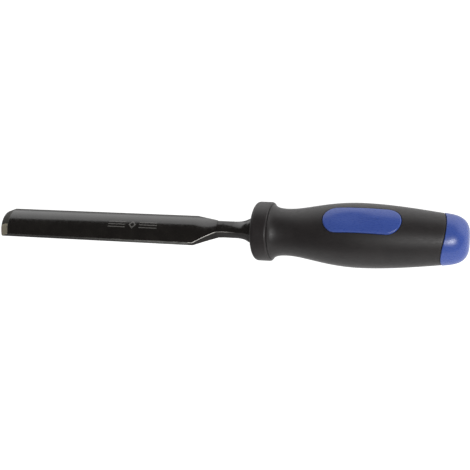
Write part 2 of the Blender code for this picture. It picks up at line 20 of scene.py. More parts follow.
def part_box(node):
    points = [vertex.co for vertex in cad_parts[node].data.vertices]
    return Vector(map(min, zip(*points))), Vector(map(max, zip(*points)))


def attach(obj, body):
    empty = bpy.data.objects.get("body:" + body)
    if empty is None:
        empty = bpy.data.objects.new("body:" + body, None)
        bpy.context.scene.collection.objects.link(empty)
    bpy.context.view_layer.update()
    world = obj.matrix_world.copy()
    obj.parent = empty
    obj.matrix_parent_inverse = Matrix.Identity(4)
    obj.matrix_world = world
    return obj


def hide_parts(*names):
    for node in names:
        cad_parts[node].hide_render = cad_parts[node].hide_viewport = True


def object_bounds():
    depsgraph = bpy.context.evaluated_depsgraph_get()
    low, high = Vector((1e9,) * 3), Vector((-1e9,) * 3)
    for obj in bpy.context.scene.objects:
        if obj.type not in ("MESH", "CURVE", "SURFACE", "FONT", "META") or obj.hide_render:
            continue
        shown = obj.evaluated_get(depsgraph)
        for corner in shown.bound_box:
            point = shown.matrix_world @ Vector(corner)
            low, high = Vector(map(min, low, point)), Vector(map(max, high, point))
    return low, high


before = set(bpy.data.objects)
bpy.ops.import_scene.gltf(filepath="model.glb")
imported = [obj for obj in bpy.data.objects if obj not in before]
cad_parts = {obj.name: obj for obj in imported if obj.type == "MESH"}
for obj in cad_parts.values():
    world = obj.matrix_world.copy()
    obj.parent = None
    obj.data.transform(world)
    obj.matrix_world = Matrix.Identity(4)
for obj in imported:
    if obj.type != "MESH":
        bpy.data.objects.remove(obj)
CAD_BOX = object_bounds()

log = logging.getLogger("gouge")

Point = tuple[float, float]
Colour = tuple[float, float, float]
Ring = list[Vector]

CLEARANCE = 0.0003  # gap between any two pieces that meet
MERGE = 1e-6  # points closer than this are one
SLIVER = 0.0002  # the least length that is worth a step of its own
NO_CHANNEL: Point = (SLIVER, 0.0)  # half width and height of a channel that has closed
TURN_STEPS = 128
MAP_SOCKETS = ("From Min", "From Max", "To Min", "To Max")


class Slot(Enum):
    """The material slots of the record that the finished pieces take."""

    BLACKENED_STEEL = "blackened_steel"
    BLACK_PLASTIC = "black_plastic"
    BLACK_GRIP = "black_grip"
    BLUE_PLASTIC = "blue_plastic"


# ---------------------------------------------------------------- shapes


def bezier(start: Point, first: Point, last: Point, end: Point, steps: int) -> list[Point]:
    """Points along one flat Bezier curve.

    Args:
        start: The first point.
        first: The handle that the curve leaves towards.
        last: The handle that it arrives from.
        end: The last point.
        steps: How many stretches the curve is cut into.

    Returns:
        steps + 1 points, both ends included.
    """
    knots = [Vector((*point, 0.0)) for point in (start, first, last, end)]
    return [(p.x, p.y) for p in interpolate_bezier(*knots, steps + 1)]


def arc(centre: Point, radius: float, start: float, end: float, steps: int) -> list[Point]:
    """Points on a circle.

    Args:
        centre: The circle's centre.
        radius: Its radius.
        start: The first point's angle in radians.
        end: The last point's angle.
        steps: How many stretches the arc is cut into.

    Returns:
        steps + 1 points, both ends included.
    """
    angles = [start + (end - start) * i / steps for i in range(steps + 1)]
    return [(centre[0] + radius * math.cos(a), centre[1] + radius * math.sin(a)) for a in angles]


def straight(start: Point, end: Point, steps: int) -> list[Point]:
    """Evenly spaced points along a line.

    Args:
        start: The first point.
        end: The last point.
        steps: How many stretches the line is cut into.

    Returns:
        steps + 1 points, both ends included.
    """
    shares = [i / steps for i in range(steps + 1)]
    return [(start[0] + (end[0] - start[0]) * s, start[1] + (end[1] - start[1]) * s) for s in shares]


def eased_corner(before: Point, corner: Point, after: Point, steps: int) -> list[Point]:
    """A corner that is rounded over.

    Args:
        before: Where the rounding starts.
        corner: The sharp corner that it replaces.
        after: Where the rounding ends.
        steps: How many stretches it is cut into.

    Returns:
        steps + 1 points, both ends included.
    """
    pull = 0.6
    handles = [tuple(p + (c - p) * pull for p, c in zip(end, corner)) for end in (before, after)]
    return bezier(before, handles[0], handles[1], after, steps)


def lofted(rings: Sequence[Ring]) -> bmesh.types.BMesh:
    """Extrudes a closed wire from ring to ring and caps both ends.

    Args:
        rings: Rings of points, all with the same number of them.

    Returns:
        A closed bmesh whose vertices carry the whole numbers "ring" and "column".
    """
    bm = bmesh.new()
    ring_of = bm.verts.layers.int.new("ring")
    column_of = bm.verts.layers.int.new("column")
    verts = [bm.verts.new(point) for point in rings[0]]
    for column, vert in enumerate(verts):
        vert[column_of] = column
    edges = [bm.edges.new(pair) for pair in zip(verts, verts[1:] + verts[:1])]
    bmesh.ops.contextual_create(bm, geom=edges)
    for number, ring in enumerate(rings[1:], start=1):
        made = bmesh.ops.extrude_edge_only(bm, edges=edges)["geom"]
        edges = [g for g in made if isinstance(g, bmesh.types.BMEdge)]
        for vert in (g for g in made if isinstance(g, bmesh.types.BMVert)):
            vert.co = ring[vert[column_of]]
            vert[ring_of] = number
    bmesh.ops.contextual_create(bm, geom=edges)
    return bm


def turned(profile: Sequence[Point]) -> bmesh.types.BMesh:
    """Turns an outline about the tool's axis.

    Args:
        profile: (x, radius) points of a closed outline, or of one whose ends are on the axis.

    Returns:
        A closed bmesh.
    """
    bm = bmesh.new()
    verts = [bm.verts.new((x, 0.0, radius)) for x, radius in profile]
    edges = [bm.edges.new(pair) for pair in zip(verts, verts[1:])]
    if min(profile[0][1], profile[-1][1]) > 0:
        edges.append(bm.edges.new((verts[-1], verts[0])))
    bmesh.ops.spin(
        bm,
        geom=verts + edges,
        cent=(0, 0, 0),
        axis=(1, 0, 0),
        angle=math.tau,
        steps=TURN_STEPS,
        use_merge=True,
    )
    return bm


def closed_up(bm: bmesh.types.BMesh) -> bmesh.types.BMesh:
    """Merges the doubles and turns every face outwards.

    Args:
        bm: The shape, which is changed in place.

    Returns:
        The same bmesh.
    """
    bmesh.ops.remove_doubles(bm, verts=bm.verts, dist=MERGE)
    bmesh.ops.dissolve_degenerate(bm, edges=bm.edges, dist=MERGE)
    bmesh.ops.recalc_face_normals(bm, faces=bm.faces)
    return bm


def cut(bm: bmesh.types.BMesh, cutter: bmesh.types.BMesh) -> bmesh.types.BMesh:
    """Takes one closed shape away from another.

    Args:
        bm: The shape that is cut. It is freed.
        cutter: What is taken away. It is freed too.

    Returns:
        A new bmesh of what is left.
    """
    shapes = []
    for shape in (bm, cutter):
        mesh = bpy.data.meshes.new("cut")
        closed_up(shape).to_mesh(mesh)
        shape.free()
        shapes.append(bpy.data.objects.new("cut", mesh))
        bpy.context.scene.collection.objects.link(shapes[-1])
    modifier = shapes[0].modifiers.new("cut", "BOOLEAN")
    modifier.operation = "DIFFERENCE"
    modifier.solver = "EXACT"
    modifier.object = shapes[1]
    graph = bpy.context.evaluated_depsgraph_get()
    left = bmesh.new()
    left.from_object(shapes[0], graph)
    for shape in shapes:
        mesh = shape.data
        bpy.data.objects.remove(shape)
        bpy.data.meshes.remove(mesh)
    return left


def put_in_order(bm: bmesh.types.BMesh) -> None:
    """Sorts the vertices, edges and faces by their places, so that every run treats them alike.

    Args:
        bm: The shape, which keeps all its parts.
    """

    def rank(item: bmesh.types.BMVert | bmesh.types.BMEdge | bmesh.types.BMFace) -> tuple[float, ...]:
        """The middle of an element, rounded to a tenth of a micrometre."""
        corners = [item.co] if isinstance(item, bmesh.types.BMVert) else [v.co for v in item.verts]
        return tuple(round(sum(co[i] for co in corners) / len(corners), 7) for i in range(3))

    for elements in (bm.verts, bm.edges, bm.faces):
        for place, item in enumerate(sorted(elements, key=rank)):
            item.index = place
        elements.sort()


@dataclass
class Piece:
    """One visible piece, ready to be placed."""

    name: str
    node: str
    slot: Slot
    sharp: float = math.radians(34)

    def place(self, bm: bmesh.types.BMesh, *materials: bpy.types.Material) -> bpy.types.Object:
        """Makes the object, which rides on the tool's body and stands for its CAD node.

        Args:
            bm: The shape, in the row frame. It is freed.
            materials: The materials that its faces' indices name.

        Returns:
            The new object.
        """
        mesh = bpy.data.meshes.new(self.name)
        closed_up(bm).to_mesh(mesh)
        bm.free()
        mesh.shade_smooth()
        mesh.set_sharp_from_angle(angle=self.sharp)
        for material in materials:
            mesh.materials.append(material)
        obj = bpy.data.objects.new(self.name, mesh)
        bpy.context.scene.collection.objects.link(obj)
        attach(obj, "root")
        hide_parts(self.node)
        log.info("%s: %d faces", self.name, len(mesh.polygons))
        return obj


# ---------------------------------------------------------------- node trees


def ranged(
    tree: bpy.types.NodeTree, source: bpy.types.NodeSocket, limits: tuple[float, float, float, float]
) -> bpy.types.NodeSocket:
    """Maps a range of the source onto another range, eased and clamped at both ends.

    Args:
        tree: The tree that the node goes in.
        source: What is mapped.
        limits: The source's two values, and what they become.

    Returns:
        The mapped value.
    """
    node = tree.nodes.new("ShaderNodeMapRange")
    node.interpolation_type = "SMOOTHSTEP"
    for socket, value in zip(MAP_SOCKETS, limits):
        node.inputs[socket].default_value = value
    tree.links.new(source, node.inputs["Value"])
    return node.outputs["Result"]


def product(tree: bpy.types.NodeTree, *sources: bpy.types.NodeSocket) -> bpy.types.NodeSocket:
    """Multiplies the sources together, one Math node after another.

    Args:
        tree: The tree that the nodes go in.
        sources: What is multiplied, one or more.

    Returns:
        The product.
    """
    result = sources[0]
    for other in sources[1:]:
        node = tree.nodes.new("ShaderNodeMath")
        node.operation = "MULTIPLY"
        tree.links.new(result, node.inputs[0])
        tree.links.new(other, node.inputs[1])
        result = node.outputs[0]
    return result


class NodeSheet:
    """Lays out one material's nodes."""

    def __init__(self, name: str) -> None:
        """Starts a material whose shader is a bare Principled BSDF.

        Args:
            name: The material's name.
        """
        self.material = bpy.data.materials.new(name)
        self.material.use_nodes = True
        self.tree = self.material.node_tree
        self.shader = self.tree.nodes["Principled BSDF"]
        self.place = self.tree.nodes.new("ShaderNodeTexCoord").outputs["Object"]

    def fix(self, **values: float | Colour) -> None:
        """Sets the shader's own sockets, named with underscores for spaces."""
        for name, value in values.items():
            socket = self.shader.inputs[name.replace("_", " ")]
            socket.default_value = (*value, 1.0) if isinstance(value, tuple) else value

    def feed(self, socket: str, source: bpy.types.NodeSocket) -> None:
        """Wires a source to one of the shader's sockets."""
        self.tree.links.new(source, self.shader.inputs[socket])

    def stretched(self, scale: tuple[float, float, float]) -> bpy.types.NodeSocket:
        """Object coordinates multiplied along each axis.

        Args:
            scale: The factor for each axis.

        Returns:
            The stretched coordinates.
        """
        mapping = self.tree.nodes.new("ShaderNodeMapping")
        mapping.inputs["Scale"].default_value = scale
        self.tree.links.new(self.place, mapping.inputs["Vector"])
        return mapping.outputs["Vector"]

    def noise(
        self,
        scale: float | tuple[float, float, float],
        detail: float = 4.0,
        roughness: float = 0.55,
    ) -> bpy.types.NodeSocket:
        """Noise in the row frame.

        Args:
            scale: Cycles to the metre, the same all ways or one for each axis.
            detail: How many finer layers it has.
            roughness: How strong the finer layers are.

        Returns:
            The noise, about 0.5 on average.
        """
        node = self.tree.nodes.new("ShaderNodeTexNoise")
        node.inputs["Scale"].default_value = 1.0
        node.inputs["Detail"].default_value = detail
        node.inputs["Roughness"].default_value = roughness
        axes = scale if isinstance(scale, tuple) else (scale,) * 3
        self.tree.links.new(self.stretched(axes), node.inputs["Vector"])
        return node.outputs["Fac"]

    def span(
        self, source: bpy.types.NodeSocket, low: float, high: float, start: float, end: float
    ) -> bpy.types.NodeSocket:
        """Maps a range of the source onto another range, clamped at both ends.

        Args:
            source: What is mapped.
            low: The source's value that becomes start.
            high: The source's value that becomes end.
            start: The result at low.
            end: The result at high.

        Returns:
            The mapped value.
        """
        return ranged(self.tree, source, (low, high, start, end))

    def times(self, *sources: bpy.types.NodeSocket) -> bpy.types.NodeSocket:
        """The sources multiplied together."""
        return product(self.tree, *sources)

    def maths(
        self, operation: str, first: bpy.types.NodeSocket, second: bpy.types.NodeSocket | float = 0.0
    ) -> bpy.types.NodeSocket:
        """One Math node on a source and a second source or number.

        Args:
            operation: The node's operation.
            first: The first value.
            second: The second value, where the operation has one.

        Returns:
            The result.
        """
        node = self.tree.nodes.new("ShaderNodeMath")
        node.operation = operation
        self.tree.links.new(first, node.inputs[0])
        if isinstance(second, bpy.types.NodeSocket):
            self.tree.links.new(second, node.inputs[1])
        else:
            node.inputs[1].default_value = second
        return node.outputs[0]

    def axis(self, name: str) -> bpy.types.NodeSocket:
        """The X, Y or Z of the place on the surface, in the row frame.

        Args:
            name: "X", "Y" or "Z".

        Returns:
            That coordinate.
        """
        node = self.tree.nodes.new("ShaderNodeSeparateXYZ")
        self.tree.links.new(self.place, node.inputs[0])
        return node.outputs[name]

    def marked(self, attribute: str) -> bpy.types.NodeSocket:
        """The number that the mesh carries under this name.

        Args:
            attribute: The name of a layer of the mesh.

        Returns:
            The number.
        """
        node = self.tree.nodes.new("ShaderNodeAttribute")
        node.attribute_name = attribute
        return node.outputs["Fac"]

    def blend(
        self,
        share: bpy.types.NodeSocket,
        first: bpy.types.NodeSocket | Colour,
        second: bpy.types.NodeSocket | Colour,
    ) -> bpy.types.NodeSocket:
        """A mix of two colours.

        Args:
            share: 0 for the first colour, 1 for the second.
            first: A colour or a source of one.
            second: The other.

        Returns:
            The mixed colour.
        """
        node = self.tree.nodes.new("ShaderNodeMix")
        node.data_type = "RGBA"
        self.tree.links.new(share, node.inputs["Factor"])
        # the colour sockets come after those for numbers and vectors
        for socket, colour in zip((node.inputs[6], node.inputs[7]), (first, second)):
            if isinstance(colour, tuple):
                socket.default_value = (*colour, 1.0)
            else:
                self.tree.links.new(colour, socket)
        return node.outputs[2]

    def raise_surface(self, height: bpy.types.NodeSocket, depth: float) -> None:
        """Adds a bump of this depth, in metres, on top of those already there.

        Args:
            height: The pattern.
            depth: How far it rises at its highest, in metres.
        """
        node = self.tree.nodes.new("ShaderNodeBump")
        node.inputs["Strength"].default_value = 1.0
        node.inputs["Distance"].default_value = depth
        self.tree.links.new(height, node.inputs["Height"])
        for link in list(self.shader.inputs["Normal"].links):
            self.tree.links.new(link.from_socket, node.inputs["Normal"])
        self.feed("Normal", node.outputs["Normal"])


@dataclass(frozen=True)
class MakersMark:
    """A plain etched mark on the back of the blade: a lozenge between two sets of ruled strokes."""

    x: float
    y: float = -0.0008
    lozenge: float = 0.0024
    hollow: float = 0.0013
    strokes_from: float = 0.0042
    strokes_to: float = 0.0150
    stroke_pitch: float = 0.0016
    stroke_width: float = 0.0005
    strokes_reach: float = 0.0022

    def mask(self, sheet: NodeSheet) -> bpy.types.NodeSocket:
        """1 inside the mark and 0 outside.

        Args:
            sheet: The sheet that the nodes go on.

        Returns:
            The mask.
        """
        apart = sheet.maths("ABSOLUTE", sheet.maths("SUBTRACT", sheet.axis("X"), self.x))
        side = sheet.maths("ABSOLUTE", sheet.maths("SUBTRACT", sheet.axis("Y"), self.y))
        reach = sheet.maths("ADD", apart, side)
        outer = sheet.maths("LESS_THAN", reach, self.lozenge)
        inner = sheet.maths("LESS_THAN", reach, self.hollow)
        folded = sheet.maths("PINGPONG", side, self.stroke_pitch / 2)
        strokes = sheet.maths("LESS_THAN", folded, self.stroke_width / 2)
        strokes = sheet.times(
            strokes,
            sheet.maths("GREATER_THAN", apart, self.strokes_from),
            sheet.maths("LESS_THAN", apart, self.strokes_to),
            sheet.maths("LESS_THAN", side, self.strokes_reach),
        )
        return sheet.maths("MAXIMUM", sheet.maths("SUBTRACT", outer, inner), strokes)


@dataclass(frozen=True)
class OxideFinish:
    """Black oxide over ground steel, scuffed through along the arrises.

    The sides of the blade carry a painted reflection of the table, greyer from flank_reflection_from
    behind the edge to flank_reflection_to before the shoulder. The arrises are scuffed bare and also
    carry a painted highlight, most at the shoulder and not at all on the flare.
    """

    mark: MakersMark
    shoulder_x: float
    edge_x: float
    flare_x: float
    dark: Colour = (0.0100, 0.0082, 0.0070)
    pale: Colour = (0.0155, 0.0132, 0.0112)
    rubbed_highlight: Colour = (0.72, 0.70, 0.66)
    flank_reflection: Colour = (0.115, 0.115, 0.108)
    etched: Colour = (0.16, 0.155, 0.145)
    flank_reflection_from: float = 0.046
    flank_reflection_to: float = 0.020
    wear_highlight_from: float = 0.040
    wear_highlight_near_edge: float = 0.12
    wear_highlight_end: Point = (-0.006, 0.003)
    gloss: Point = (0.13, 0.22)
    etched_roughness: float = 0.2
    refraction: float = 1.75
    grain_depth: float = 0.0000012

    def make(self) -> bpy.types.Material:
        """Builds the material.

        Returns:
            The finished material.
        """
        sheet = NodeSheet("black_oxide")
        cloud = sheet.noise(160.0)
        grind = sheet.noise((60.0, 5200.0, 5200.0), 6.0)
        fleck = sheet.noise(2600.0, 3.0)
        base = sheet.blend(sheet.span(cloud, 0.35, 0.7, 0.0, 1.0), self.dark, self.pale)
        x = sheet.axis("X")
        # painted reflection of the table: the blade's sides turn grey in patches, more towards the shoulder
        along = sheet.span(x, self.edge_x + self.flank_reflection_from, self.shoulder_x - self.flank_reflection_to, 0.0, 1.0)
        patchy = sheet.span(sheet.noise((260.0, 1500.0, 1500.0)), 0.30, 0.62, 0.35, 1.0)
        base = sheet.blend(sheet.times(sheet.marked("flank_reflection"), along, patchy), base, self.flank_reflection)
        # scuffed arrises with a painted highlight: lightened most at the shoulder, faded out on the flare
        worn_highlight = sheet.span(sheet.noise((170.0, 900.0, 900.0)), 0.34, 0.60, 0.30, 1.0)
        wear_highlight_x = self.edge_x + self.wear_highlight_from
        rising = sheet.span(x, wear_highlight_x, self.shoulder_x, self.wear_highlight_near_edge, 1.0)
        fading = sheet.span(x, self.flare_x + self.wear_highlight_end[0], self.flare_x + self.wear_highlight_end[1], 1.0, 0.0)
        base = sheet.blend(sheet.times(sheet.marked("arris"), worn_highlight, rising, fading), base, self.rubbed_highlight)
        flecked = sheet.span(fleck, 0.3, 0.55, 0.35, 0.9)
        etched = sheet.times(self.mark.mask(sheet), sheet.marked("back"), flecked)
        sheet.feed("Base Color", sheet.blend(etched, base, self.etched))
        rough = sheet.span(sheet.noise(420.0), 0.3, 0.7, *self.gloss)
        matt = sheet.maths("MULTIPLY", etched, self.etched_roughness)
        sheet.feed("Roughness", sheet.maths("ADD", rough, matt))
        sheet.fix(Metallic=0.0, IOR=self.refraction)
        sheet.raise_surface(grind, self.grain_depth)
        sheet.raise_surface(fleck, self.grain_depth)
        return sheet.material


@dataclass(frozen=True)
class GroundFinish:
    """The ground bevel: stained steel, bare along the edge and in one patch at patch_y to the -Y side."""

    edge_x: float
    patch_y: float = 0.0062
    bare: Colour = (0.97, 0.89, 0.70)
    stain: Colour = (0.026, 0.023, 0.016)
    grey: Colour = (0.16, 0.155, 0.135)
    edge_band: Point = (0.0018, 0.0046)
    patch_band: Point = (0.0024, 0.0034)
    metal: Point = (0.10, 0.95)
    gloss: Point = (0.44, 0.60)
    stripe_depth: float = 0.000004

    def make(self) -> bpy.types.Material:
        """Builds the material.

        Returns:
            The finished material.
        """
        sheet = NodeSheet("ground_bevel")
        stripes = sheet.noise((5200.0, 150.0, 150.0), 5.0)
        cloud = sheet.noise(520.0, 5.0, 0.6)
        band_from, band_to = (self.edge_x + reach for reach in self.edge_band)
        near_edge = sheet.span(sheet.axis("X"), band_from, band_to, 0.10, -0.10)
        from_patch = sheet.maths("ABSOLUTE", sheet.maths("ADD", sheet.axis("Y"), self.patch_y))
        centred = sheet.span(from_patch, *self.patch_band, 0.30, -0.30)
        amount = sheet.maths("ADD", sheet.maths("ADD", cloud, near_edge), centred)
        bare = sheet.span(amount, 0.45, 0.72, 0.0, 1.0)
        base = sheet.blend(bare, self.stain, self.bare)
        striped = sheet.span(stripes, 0.3, 0.7, 0.0, 0.35)
        sheet.feed("Base Color", sheet.blend(striped, base, self.grey))
        sheet.feed("Metallic", sheet.span(bare, 0.0, 1.0, *self.metal))
        sheet.feed("Roughness", sheet.span(cloud, 0.3, 0.7, *self.gloss))
        sheet.raise_surface(stripes, self.stripe_depth)
        return sheet.material


@dataclass(frozen=True)
class MouldedFinish:
    """A moulded plastic or rubber: a fine texture from the mould, and handling marks."""

    name: str
    colour: Colour
    tint: Colour
    gloss: Point
    grain: float = 2400.0
    grain_depth: float = 0.000012
    sheen: float = 0.0
    sheen_spread: float = 0.35
    dust_gain: float = 2.2
    dust_lift: float = 0.01
    cloud_depth: float = 0.00006

    def make(self) -> bpy.types.Material:
        """Builds the material.

        Returns:
            The finished material.
        """
        sheet = NodeSheet(self.name)
        cloud = sheet.noise(90.0, 3.0)
        speck = sheet.noise(self.grain, 3.0)
        rubs = sheet.noise((420.0, 1900.0, 1900.0), 5.0, 0.65)
        base = sheet.blend(sheet.span(cloud, 0.3, 0.7, 0.0, 1.0), self.colour, self.tint)
        dusty = sheet.span(speck, 0.55, 0.75, 0.0, 0.12)
        dust = tuple(min(1.0, self.dust_gain * c + self.dust_lift) for c in self.colour)
        sheet.feed("Base Color", sheet.blend(dusty, base, dust))
        sheet.feed("Roughness", sheet.span(rubs, 0.32, 0.68, *self.gloss))
        sheet.fix(Specular_IOR_Level=0.5, Sheen_Weight=self.sheen, Sheen_Roughness=self.sheen_spread)
        sheet.raise_surface(cloud, self.cloud_depth)
        sheet.raise_surface(speck, self.grain_depth)
        return sheet.material


@dataclass(frozen=True)
class BrightSteelFinish:
    """Plain turned steel for the hoop inside the collar."""

    colour: Colour = (0.52, 0.52, 0.53)
    dulled: float = 0.6
    gloss: Point = (0.28, 0.45)
    ring_depth: float = 0.000006

    def make(self) -> bpy.types.Material:
        """Builds the material.

        Returns:
            The finished material.
        """
        sheet = NodeSheet("turned_steel")
        rings = sheet.noise((4200.0, 130.0, 130.0), 5.0)
        cloud = sheet.noise(300.0)
        dull = tuple(self.dulled * c for c in self.colour)
        sheet.feed("Base Color", sheet.blend(sheet.span(cloud, 0.35, 0.7, 0.0, 0.6), self.colour, dull))
        sheet.feed("Roughness", sheet.span(rings, 0.3, 0.7, *self.gloss))
        sheet.fix(Metallic=1.0)
        sheet.raise_surface(rings, self.ring_depth)
        return sheet.material


# ---------------------------------------------------------------- the tool


@dataclass
class Forging:
    """Blade, shoulder, neck, bolster and tang, all in one piece of steel."""

    collar_front_x: float
    blade_length: float = 0.1215
    neck_length: float = 0.0359
    width: float = 0.0176
    arch_height: float = 0.0023
    outer_radius: float = 0.0125
    side_height: float = 0.0027
    arch_thickness: float = 0.0021
    wing_land: float = 0.0003
    bevel_angle: float = math.radians(20)
    edge_flat: float = 0.0001
    runout_radius: float = 0.0600
    runout_to_shoulder: float = 0.0025
    shoulder_length: float = 0.0138
    shoulder_end_width: float = 0.0078
    shoulder_fall: float = 0.36
    shoulder_rise: float = 0.0015
    land_step: float = 0.0004
    land_step_length: float = 0.0002
    neck_width: float = 0.0070
    neck_top: float = 0.0034
    neck_side_top: float = 0.0031
    neck_bottom: float = 0.0031
    neck_ease_length: float = 0.0040
    flare_start: float = 0.0129
    flare_size: float = 0.0046
    flare_radius: float = 0.0234
    flare_reach: float = 0.0121
    roundness_at_flare: float = 0.15
    roundness_gain: float = 1.2
    bolster_seat_depth: float = 0.0008
    tang_root_radius: float = 0.0045
    tang_root_length: float = 0.0050
    tang_width_front: float = 0.0070
    tang_width_rear: float = 0.0042
    tang_length: float = 0.0640
    tang_point_length: float = 0.0040
    tang_point_width: float = 0.0017
    arris: float = 0.00022
    wing_arris: float = 0.00012
    neck_arris: float = 0.00030
    tang_crown: float = 0.94
    tang_arris: float = 0.04
    clear_of_bevel: float = 0.0005
    arch_steps: int = 44
    side_steps: int = 5
    corner_steps: int = 4
    land_steps: int = 2
    channel_steps: int = 36
    bevel_rings: int = 8
    plain_steps: int = 24
    runout_steps: int = 26
    shoulder_steps: int = 28
    neck_ease_steps: int = 8
    flare_steps: int = 32
    blade_wear_highlight: float = 0.3
    mark_before_shoulder: float = 0.0365

    def __post_init__(self) -> None:
        """Works out the places that follow from the sizes."""
        self.shoulder_x = self.collar_front_x - self.neck_length
        self.shoulder_end_x = self.shoulder_x + self.shoulder_length
        self.edge_x = self.shoulder_x - self.blade_length
        self.flare_x = self.collar_front_x - self.flare_start
        self.half_width = self.width / 2
        drop = self.outer_radius - math.sqrt(self.outer_radius**2 - self.half_width**2)
        self.side_top = self.arch_height - drop
        self.wing_z = self.side_top - self.side_height
        self.channel_top = self.arch_height - self.arch_thickness
        self.channel_rise = self.channel_top - self.wing_z
        half_channel = self.half_width - self.wing_land
        self.channel_radius = (half_channel**2 + self.channel_rise**2) / (2 * self.channel_rise)
        self.channel_centre = self.channel_top - self.channel_radius
        angle = math.acos(1 - self.channel_rise / self.runout_radius)
        self.runout_span = self.runout_radius * math.sin(angle)
        self.runout_x = self.shoulder_x - self.runout_to_shoulder - self.runout_span
        dip = math.sqrt(self.flare_radius**2 - self.flare_reach**2)
        self.bolster_radius = self.flare_size + self.flare_radius - dip

    def channel_at(self, x: float, bottom: float) -> Point:
        """The channel's half width and height above the underside.

        Args:
            x: The place along the axis.
            bottom: The height of the underside there.

        Returns:
            (half width, height), which is a sliver of no height past the end of the channel.
        """
        past = min(max(0.0, x - self.runout_x), self.runout_radius)
        fall = self.runout_radius - math.sqrt(self.runout_radius**2 - past**2)
        height = max(0.0, self.channel_top - fall - bottom)
        half = math.sqrt(max(0.0, 2 * self.channel_radius * height - height**2))
        return max(half, SLIVER), height

    def section(
        self,
        half_width: float,
        top: float,
        side_top: float,
        bottom: float,
        channel: Point,
        arris: float,
        wing_arris: float,
    ) -> list[Point]:
        """A bar with an arched top, upright sides and a channel underneath.

        Args:
            half_width: Half the bar's width.
            top: Height of the arch.
            side_top: Height where the sides start.
            bottom: Height of the underside.
            channel: Half width and height of the channel.
            arris: How far the upper corners are eased.
            wing_arris: How far the lower corners are eased.

        Returns:
            (y, z) points, clockwise seen from the handle, from the +Y end of the arch.
        """
        half_angle = 2 * math.atan2(top - side_top, half_width)
        radius = half_width / math.sin(half_angle)
        eased = half_angle - arris / radius
        middle = math.pi / 2
        arch = arc((0.0, top - radius), radius, middle - eased, middle + eased, self.arch_steps)
        left, right = -half_width, half_width
        side = (side_top - arris, bottom + wing_arris)
        half_channel, rise = channel
        lip = min(half_channel, half_width - wing_arris)
        down = eased_corner(arch[-1], (left, side_top), (left, side[0]), self.corner_steps)
        heel = eased_corner((left, side[1]), (left, bottom), (left + wing_arris, bottom), self.corner_steps)
        hollow = straight((-lip, bottom), (lip, bottom), self.channel_steps)
        if rise > MERGE:
            bow = (half_channel**2 + rise**2) / (2 * rise)
            spread = math.atan2(half_channel, bow - rise)
            centre = (0.0, bottom + rise - bow)
            hollow = arc(centre, bow, middle + spread, middle - spread, self.channel_steps)
        toe_start = (right - wing_arris, bottom)
        toe = eased_corner(toe_start, (right, bottom), (right, side[1]), self.corner_steps)
        up = eased_corner((right, side[0]), (right, side_top), arch[0], self.corner_steps)
        parts = [
            arch,
            down,
            straight(down[-1], heel[0], self.side_steps),
            heel,
            straight(heel[-1], hollow[0], self.land_steps),
            hollow,
            straight(hollow[-1], toe[0], self.land_steps),
            toe,
            straight(toe[-1], up[0], self.side_steps),
            up,
        ]
        return [point for part in parts for point in part[:-1]]

    def blade_section(self, x: float) -> list[Point]:
        """The blade's section at x, before the bevel is ground.

        Args:
            x: The place along the axis.

        Returns:
            (y, z) points, as section gives them.
        """
        channel = self.channel_at(x, self.wing_z)
        return self.section(
            self.half_width,
            self.arch_height,
            self.side_top,
            self.wing_z,
            channel,
            self.arris,
            self.wing_arris,
        )

    def opposite(self, column: int, total: int) -> int:
        """The column across the blade from this one, which is past the arch."""
        return total - (column - self.arch_steps)

    def bevel_rings_at_edge(self) -> list[Ring]:
        """Rings from the cutting edge to the back of the ground bevel.

        The columns of each lower corner share one length, so that none folds over its neighbour.

        Returns:
            Rings whose points lie on the ground cone, each column ending on the blade's own skin.
        """
        slope = math.tan(self.bevel_angle)
        edge_radius = self.channel_radius + self.edge_flat
        outline = self.blade_section(self.edge_x)
        reaches = [math.hypot(y, z - self.channel_centre) for y, z in outline]
        lengths = [max(0.0, reach - edge_radius) / slope for reach in reaches]
        heel = self.arch_steps + self.corner_steps + self.side_steps
        span = self.corner_steps + 1
        for low in (heel, self.opposite(heel + self.corner_steps, len(outline))):
            lengths[low : low + span] = [max(lengths[low : low + span])] * span
        rings = []
        for step in range(self.bevel_rings + 1):
            ring = []
            for (y, z), reach, length in zip(outline, reaches, lengths):
                x = length * step / self.bevel_rings
                ground = edge_radius + slope * x
                if reach > ground:
                    z = max(self.wing_z, self.channel_centre + (z - self.channel_centre) * ground / reach)
                    y = math.copysign(math.sqrt(ground**2 - (z - self.channel_centre) ** 2), y)
                ring.append(Vector((self.edge_x + x, y, z)))
            rings.append(ring)
        return rings

    def blade_rings(self) -> list[Ring]:
        """Rings of the blade from the cutting edge to the end of the channel.

        Returns:
            The bevel's rings first, then one just behind them, then the rest at even and closing steps.
        """
        bevel = self.bevel_rings_at_edge()
        arris = [point + Vector((self.arris / 2, 0, 0)) for point in bevel[-1]]
        clear = max(point.x for point in arris) + self.clear_of_bevel
        steps = self.plain_steps
        plain = [clear + (self.runout_x - clear) * i / steps for i in range(steps + 1)]
        steps = self.runout_steps
        shares = [1 - (1 - i / steps) ** 2 for i in range(1, steps + 1)]
        stations = plain + [self.runout_x + self.runout_span * share for share in shares]
        straight_part = [[Vector((x, y, z)) for y, z in self.blade_section(x)] for x in stations]
        return [*bevel, arris, *straight_part]

